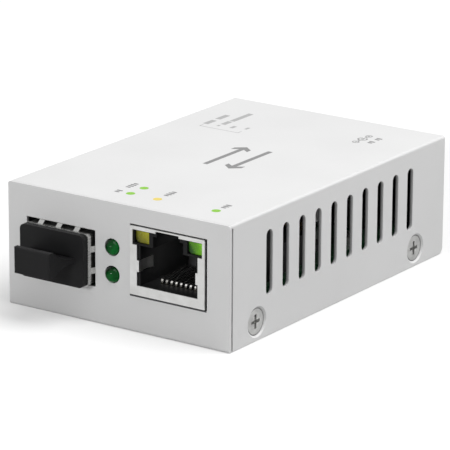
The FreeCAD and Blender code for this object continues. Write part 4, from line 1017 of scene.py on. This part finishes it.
@dataclass
class PanelLamps:
    """Moulded lamp domes in the front panel, each turned with a true hemisphere."""

    finishes: FrameFinishes
    steps: int = 14
    sharp_angle: float = 40.0

    def build(self) -> None:
        """Turns both lamps in place of their plain CAD solids."""
        for node, finish in (("power_led", UPPER_LAMP), ("link_led", LOWER_LAMP)):
            low, high = (Vector(corner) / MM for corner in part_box(node))
            middle, radius = (low + high) / 2, (high.x - low.x) / 2
            profile = [(0.0, low.y)]
            for step in range(1, self.steps + 1):
                angle = math.pi / 2 * step / self.steps
                profile.append((radius * math.sin(angle), low.y + radius * (1 - math.cos(angle))))
            profile += [(radius, high.y), (0.0, high.y)]
            shape = bmesh.new()
            lathe(shape, profile, lambda a, b, along, m=middle: (m.x * MM + a, along, m.z * MM + b))
            mesh = from_bmesh(node + "_dome", shape)
            piece = mesh_object(node + "_dome", mesh, self.finishes.material(finish), smooth=True)
            mesh.set_sharp_from_angle(angle=math.radians(self.sharp_angle))
            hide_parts(node)
            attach(piece, "converter")
            LOG.info("made %s", piece.name)


@dataclass
class BoardSolder:
    """Solder cones round the leads under the board, repeated by a node tree."""

    finishes: FrameFinishes
    pin_rows: int = 5
    pin_pitch: float = 9.0
    first_pin: float = 5.0
    cage_wall: float = 0.25
    wire_count: int = 8
    wire_pitch: float = 1.02
    wire_width: float = 0.4
    wire_setback: float = 0.15
    cone_height: float = 0.6
    cone_flare: float = 1.6
    cone_sides: int = 20
    pin_cone: float = 1.9
    wire_cone: float = 0.9

    def build(self) -> None:
        """Stands a cone round each lead, tip down."""
        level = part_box("circuit_board")[0][2] / MM - self.cone_height / 2
        cage_low, cage_high = (Vector(corner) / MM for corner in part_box("sfp_cage"))
        jack_low, jack_high = (Vector(corner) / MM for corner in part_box("rj45_contacts"))
        pins = [(x, cage_low.y + self.first_pin + row * self.pin_pitch, level)
                for x in (cage_low.x + self.cage_wall / 2, cage_high.x - self.cage_wall / 2)
                for row in range(self.pin_rows)]
        wires = [(jack_low.x + self.wire_width / 2 + index * self.wire_pitch,
                  jack_high.y - self.wire_setback, level) for index in range(self.wire_count)]
        for name, diameter, places in (("solder_cage_pins", self.pin_cone, pins),
                                       ("solder_jack_wires", self.wire_cone, wires)):
            recipe = RepeatRecipe(name, diameter, self.cone_height, self.cone_flare, self.cone_sides)
            piece = recipe.build(places, self.finishes.material(SOLDER))
            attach(piece, "converter")
            LOG.info("made %s", piece.name)


@dataclass
class Studio:
    """Camera, floor, lamps and world."""

    azimuth: float = 34.526
    elevation: float = 17.068
    roll: float = 0.315
    distance: float = 612.03
    target: Point = (-1.1227, -0.5, 10.0645)
    sensor: float = 36.0
    focal_length: float = 266.2792
    clip: tuple[float, float] = (0.01, 10.0)
    sky: float = 0.40
    key_place: Point = (0.42, 0.12, 0.92)
    key_size: float = 0.9
    key_power: float = 12.9
    fill_place: Point = (-0.04, -0.9, 0.31)
    fill_size: float = 0.13
    fill_power: float = 2.8
    floor_half: float = 3.0
    floor_tint: float = 0.62
    floor_shade: float = 0.99
    floor_lift: float = 0.25

    def camera(self) -> None:
        """Sets the camera at the object's usual three-quarter view."""
        azimuth, elevation = math.radians(self.azimuth), math.radians(self.elevation)
        back = Vector((math.sin(azimuth) * math.cos(elevation), -math.cos(azimuth) * math.cos(elevation),
                       math.sin(elevation)))
        right = (-back).cross(Vector((0.0, 0.0, 1.0))).normalized()
        upward = right.cross(-back)
        roll = math.radians(self.roll)
        across = math.cos(roll) * right + math.sin(roll) * upward
        over = -math.sin(roll) * right + math.cos(roll) * upward
        data = bpy.data.cameras.new("camera")
        data.sensor_width, data.lens = self.sensor, self.focal_length
        data.clip_start, data.clip_end = self.clip
        camera = bpy.data.objects.new("camera", data)
        bpy.context.scene.collection.objects.link(camera)
        turn = Matrix((across, over, back)).transposed().to_4x4()
        eye = (Vector(self.target) + back * self.distance) * MM
        camera.matrix_world = Matrix.Translation(eye) @ turn
        bpy.context.scene.camera = camera

    def floor(self) -> None:
        """Pale floor that keeps the object's soft shadow, a little lifted for the camera."""
        tree = Tree("floor_pale")
        shade = tree.add("BsdfDiffuse", Roughness=1.0)
        mottle, dull = tree.noise(3.0, 2.0), self.floor_tint * self.floor_shade
        tree.join(tree.blend(tree.spread(mottle, 0.0, 1.0), (self.floor_tint,) * 3, (dull,) * 3),
                  shade.inputs["Color"])
        lift, seen, both = tree.add("Emission"), tree.add("LightPath"), tree.add("AddShader")
        tree.join(tree.spread(seen.outputs["Is Camera Ray"], 0.0, self.floor_lift, 0.0, 1.0),
                  lift.inputs["Strength"])
        tree.join(shade.outputs["BSDF"], both.inputs[0])
        tree.join(lift.outputs["Emission"], both.inputs[1])
        tree.join(both.outputs["Shader"], tree.output.inputs["Surface"])
        shape = bmesh.new()
        half = self.floor_half
        shape.faces.new([shape.verts.new((x, y, 0.0)) for x, y in (
            (-half, -half), (half, -half), (half, half), (-half, half))])
        mesh = bpy.data.meshes.new("floor")
        shape.to_mesh(mesh)
        shape.free()
        mesh_object("floor", mesh, tree.material)

    def lamp(self, name: str, place: Point, size: float, power: float) -> None:
        """Adds a square area lamp that faces the object.

        Args:
            name: the lamp's name.
            place: where it hangs, in metres.
            size: its side, in metres.
            power: its power in watts.
        """
        data = bpy.data.lights.new(name, "AREA")
        data.size, data.energy = size, power
        lamp = bpy.data.objects.new(name, data)
        bpy.context.scene.collection.objects.link(lamp)
        lamp.location = place
        lamp.rotation_euler = Vector(place).to_track_quat("Z", "Y").to_euler()

    def world(self) -> None:
        """Even pale sky: full white to the camera and in reflections, softer as light."""
        world = bpy.data.worlds.new("studio")
        world.use_nodes = True
        nodes, links = world.node_tree.nodes, world.node_tree.links
        nodes.clear()
        output, sky = nodes.new("ShaderNodeOutputWorld"), nodes.new("ShaderNodeBackground")
        path, most, clear, span = (nodes.new("ShaderNode" + kind)
                                   for kind in ("LightPath", "Math", "Math", "MapRange"))
        most.operation = clear.operation = "MAXIMUM"
        links.new(path.outputs["Is Glossy Ray"], clear.inputs[0])
        links.new(path.outputs["Is Transmission Ray"], clear.inputs[1])
        links.new(path.outputs["Is Camera Ray"], most.inputs[0])
        links.new(clear.outputs[0], most.inputs[1])
        span.inputs["To Min"].default_value, span.inputs["To Max"].default_value = self.sky, 1.0
        links.new(most.outputs[0], span.inputs["Value"])
        links.new(span.outputs["Result"], sky.inputs["Strength"])
        links.new(sky.outputs["Background"], output.inputs["Surface"])
        bpy.context.scene.world = world

    def build(self) -> None:
        """Sets the whole studio."""
        self.camera()
        self.floor()
        self.world()
        self.lamp("key_lamp", self.key_place, self.key_size, self.key_power)
        self.lamp("fill_lamp", self.fill_place, self.fill_size, self.fill_power)
        bpy.context.scene.view_settings.view_transform = "Standard"


def main() -> None:
    """Builds the studio and dresses the part."""
    logging.basicConfig(level=logging.INFO, format="%(name)s: %(message)s")
    Studio().build()
    finishes = FrameFinishes()
    finishes.dress()
    for assembly in (CasePrint(finishes), PanelLamps(finishes), BoardSolder(finishes)):
        assembly.build()


if __name__ == "__main__":
    main()
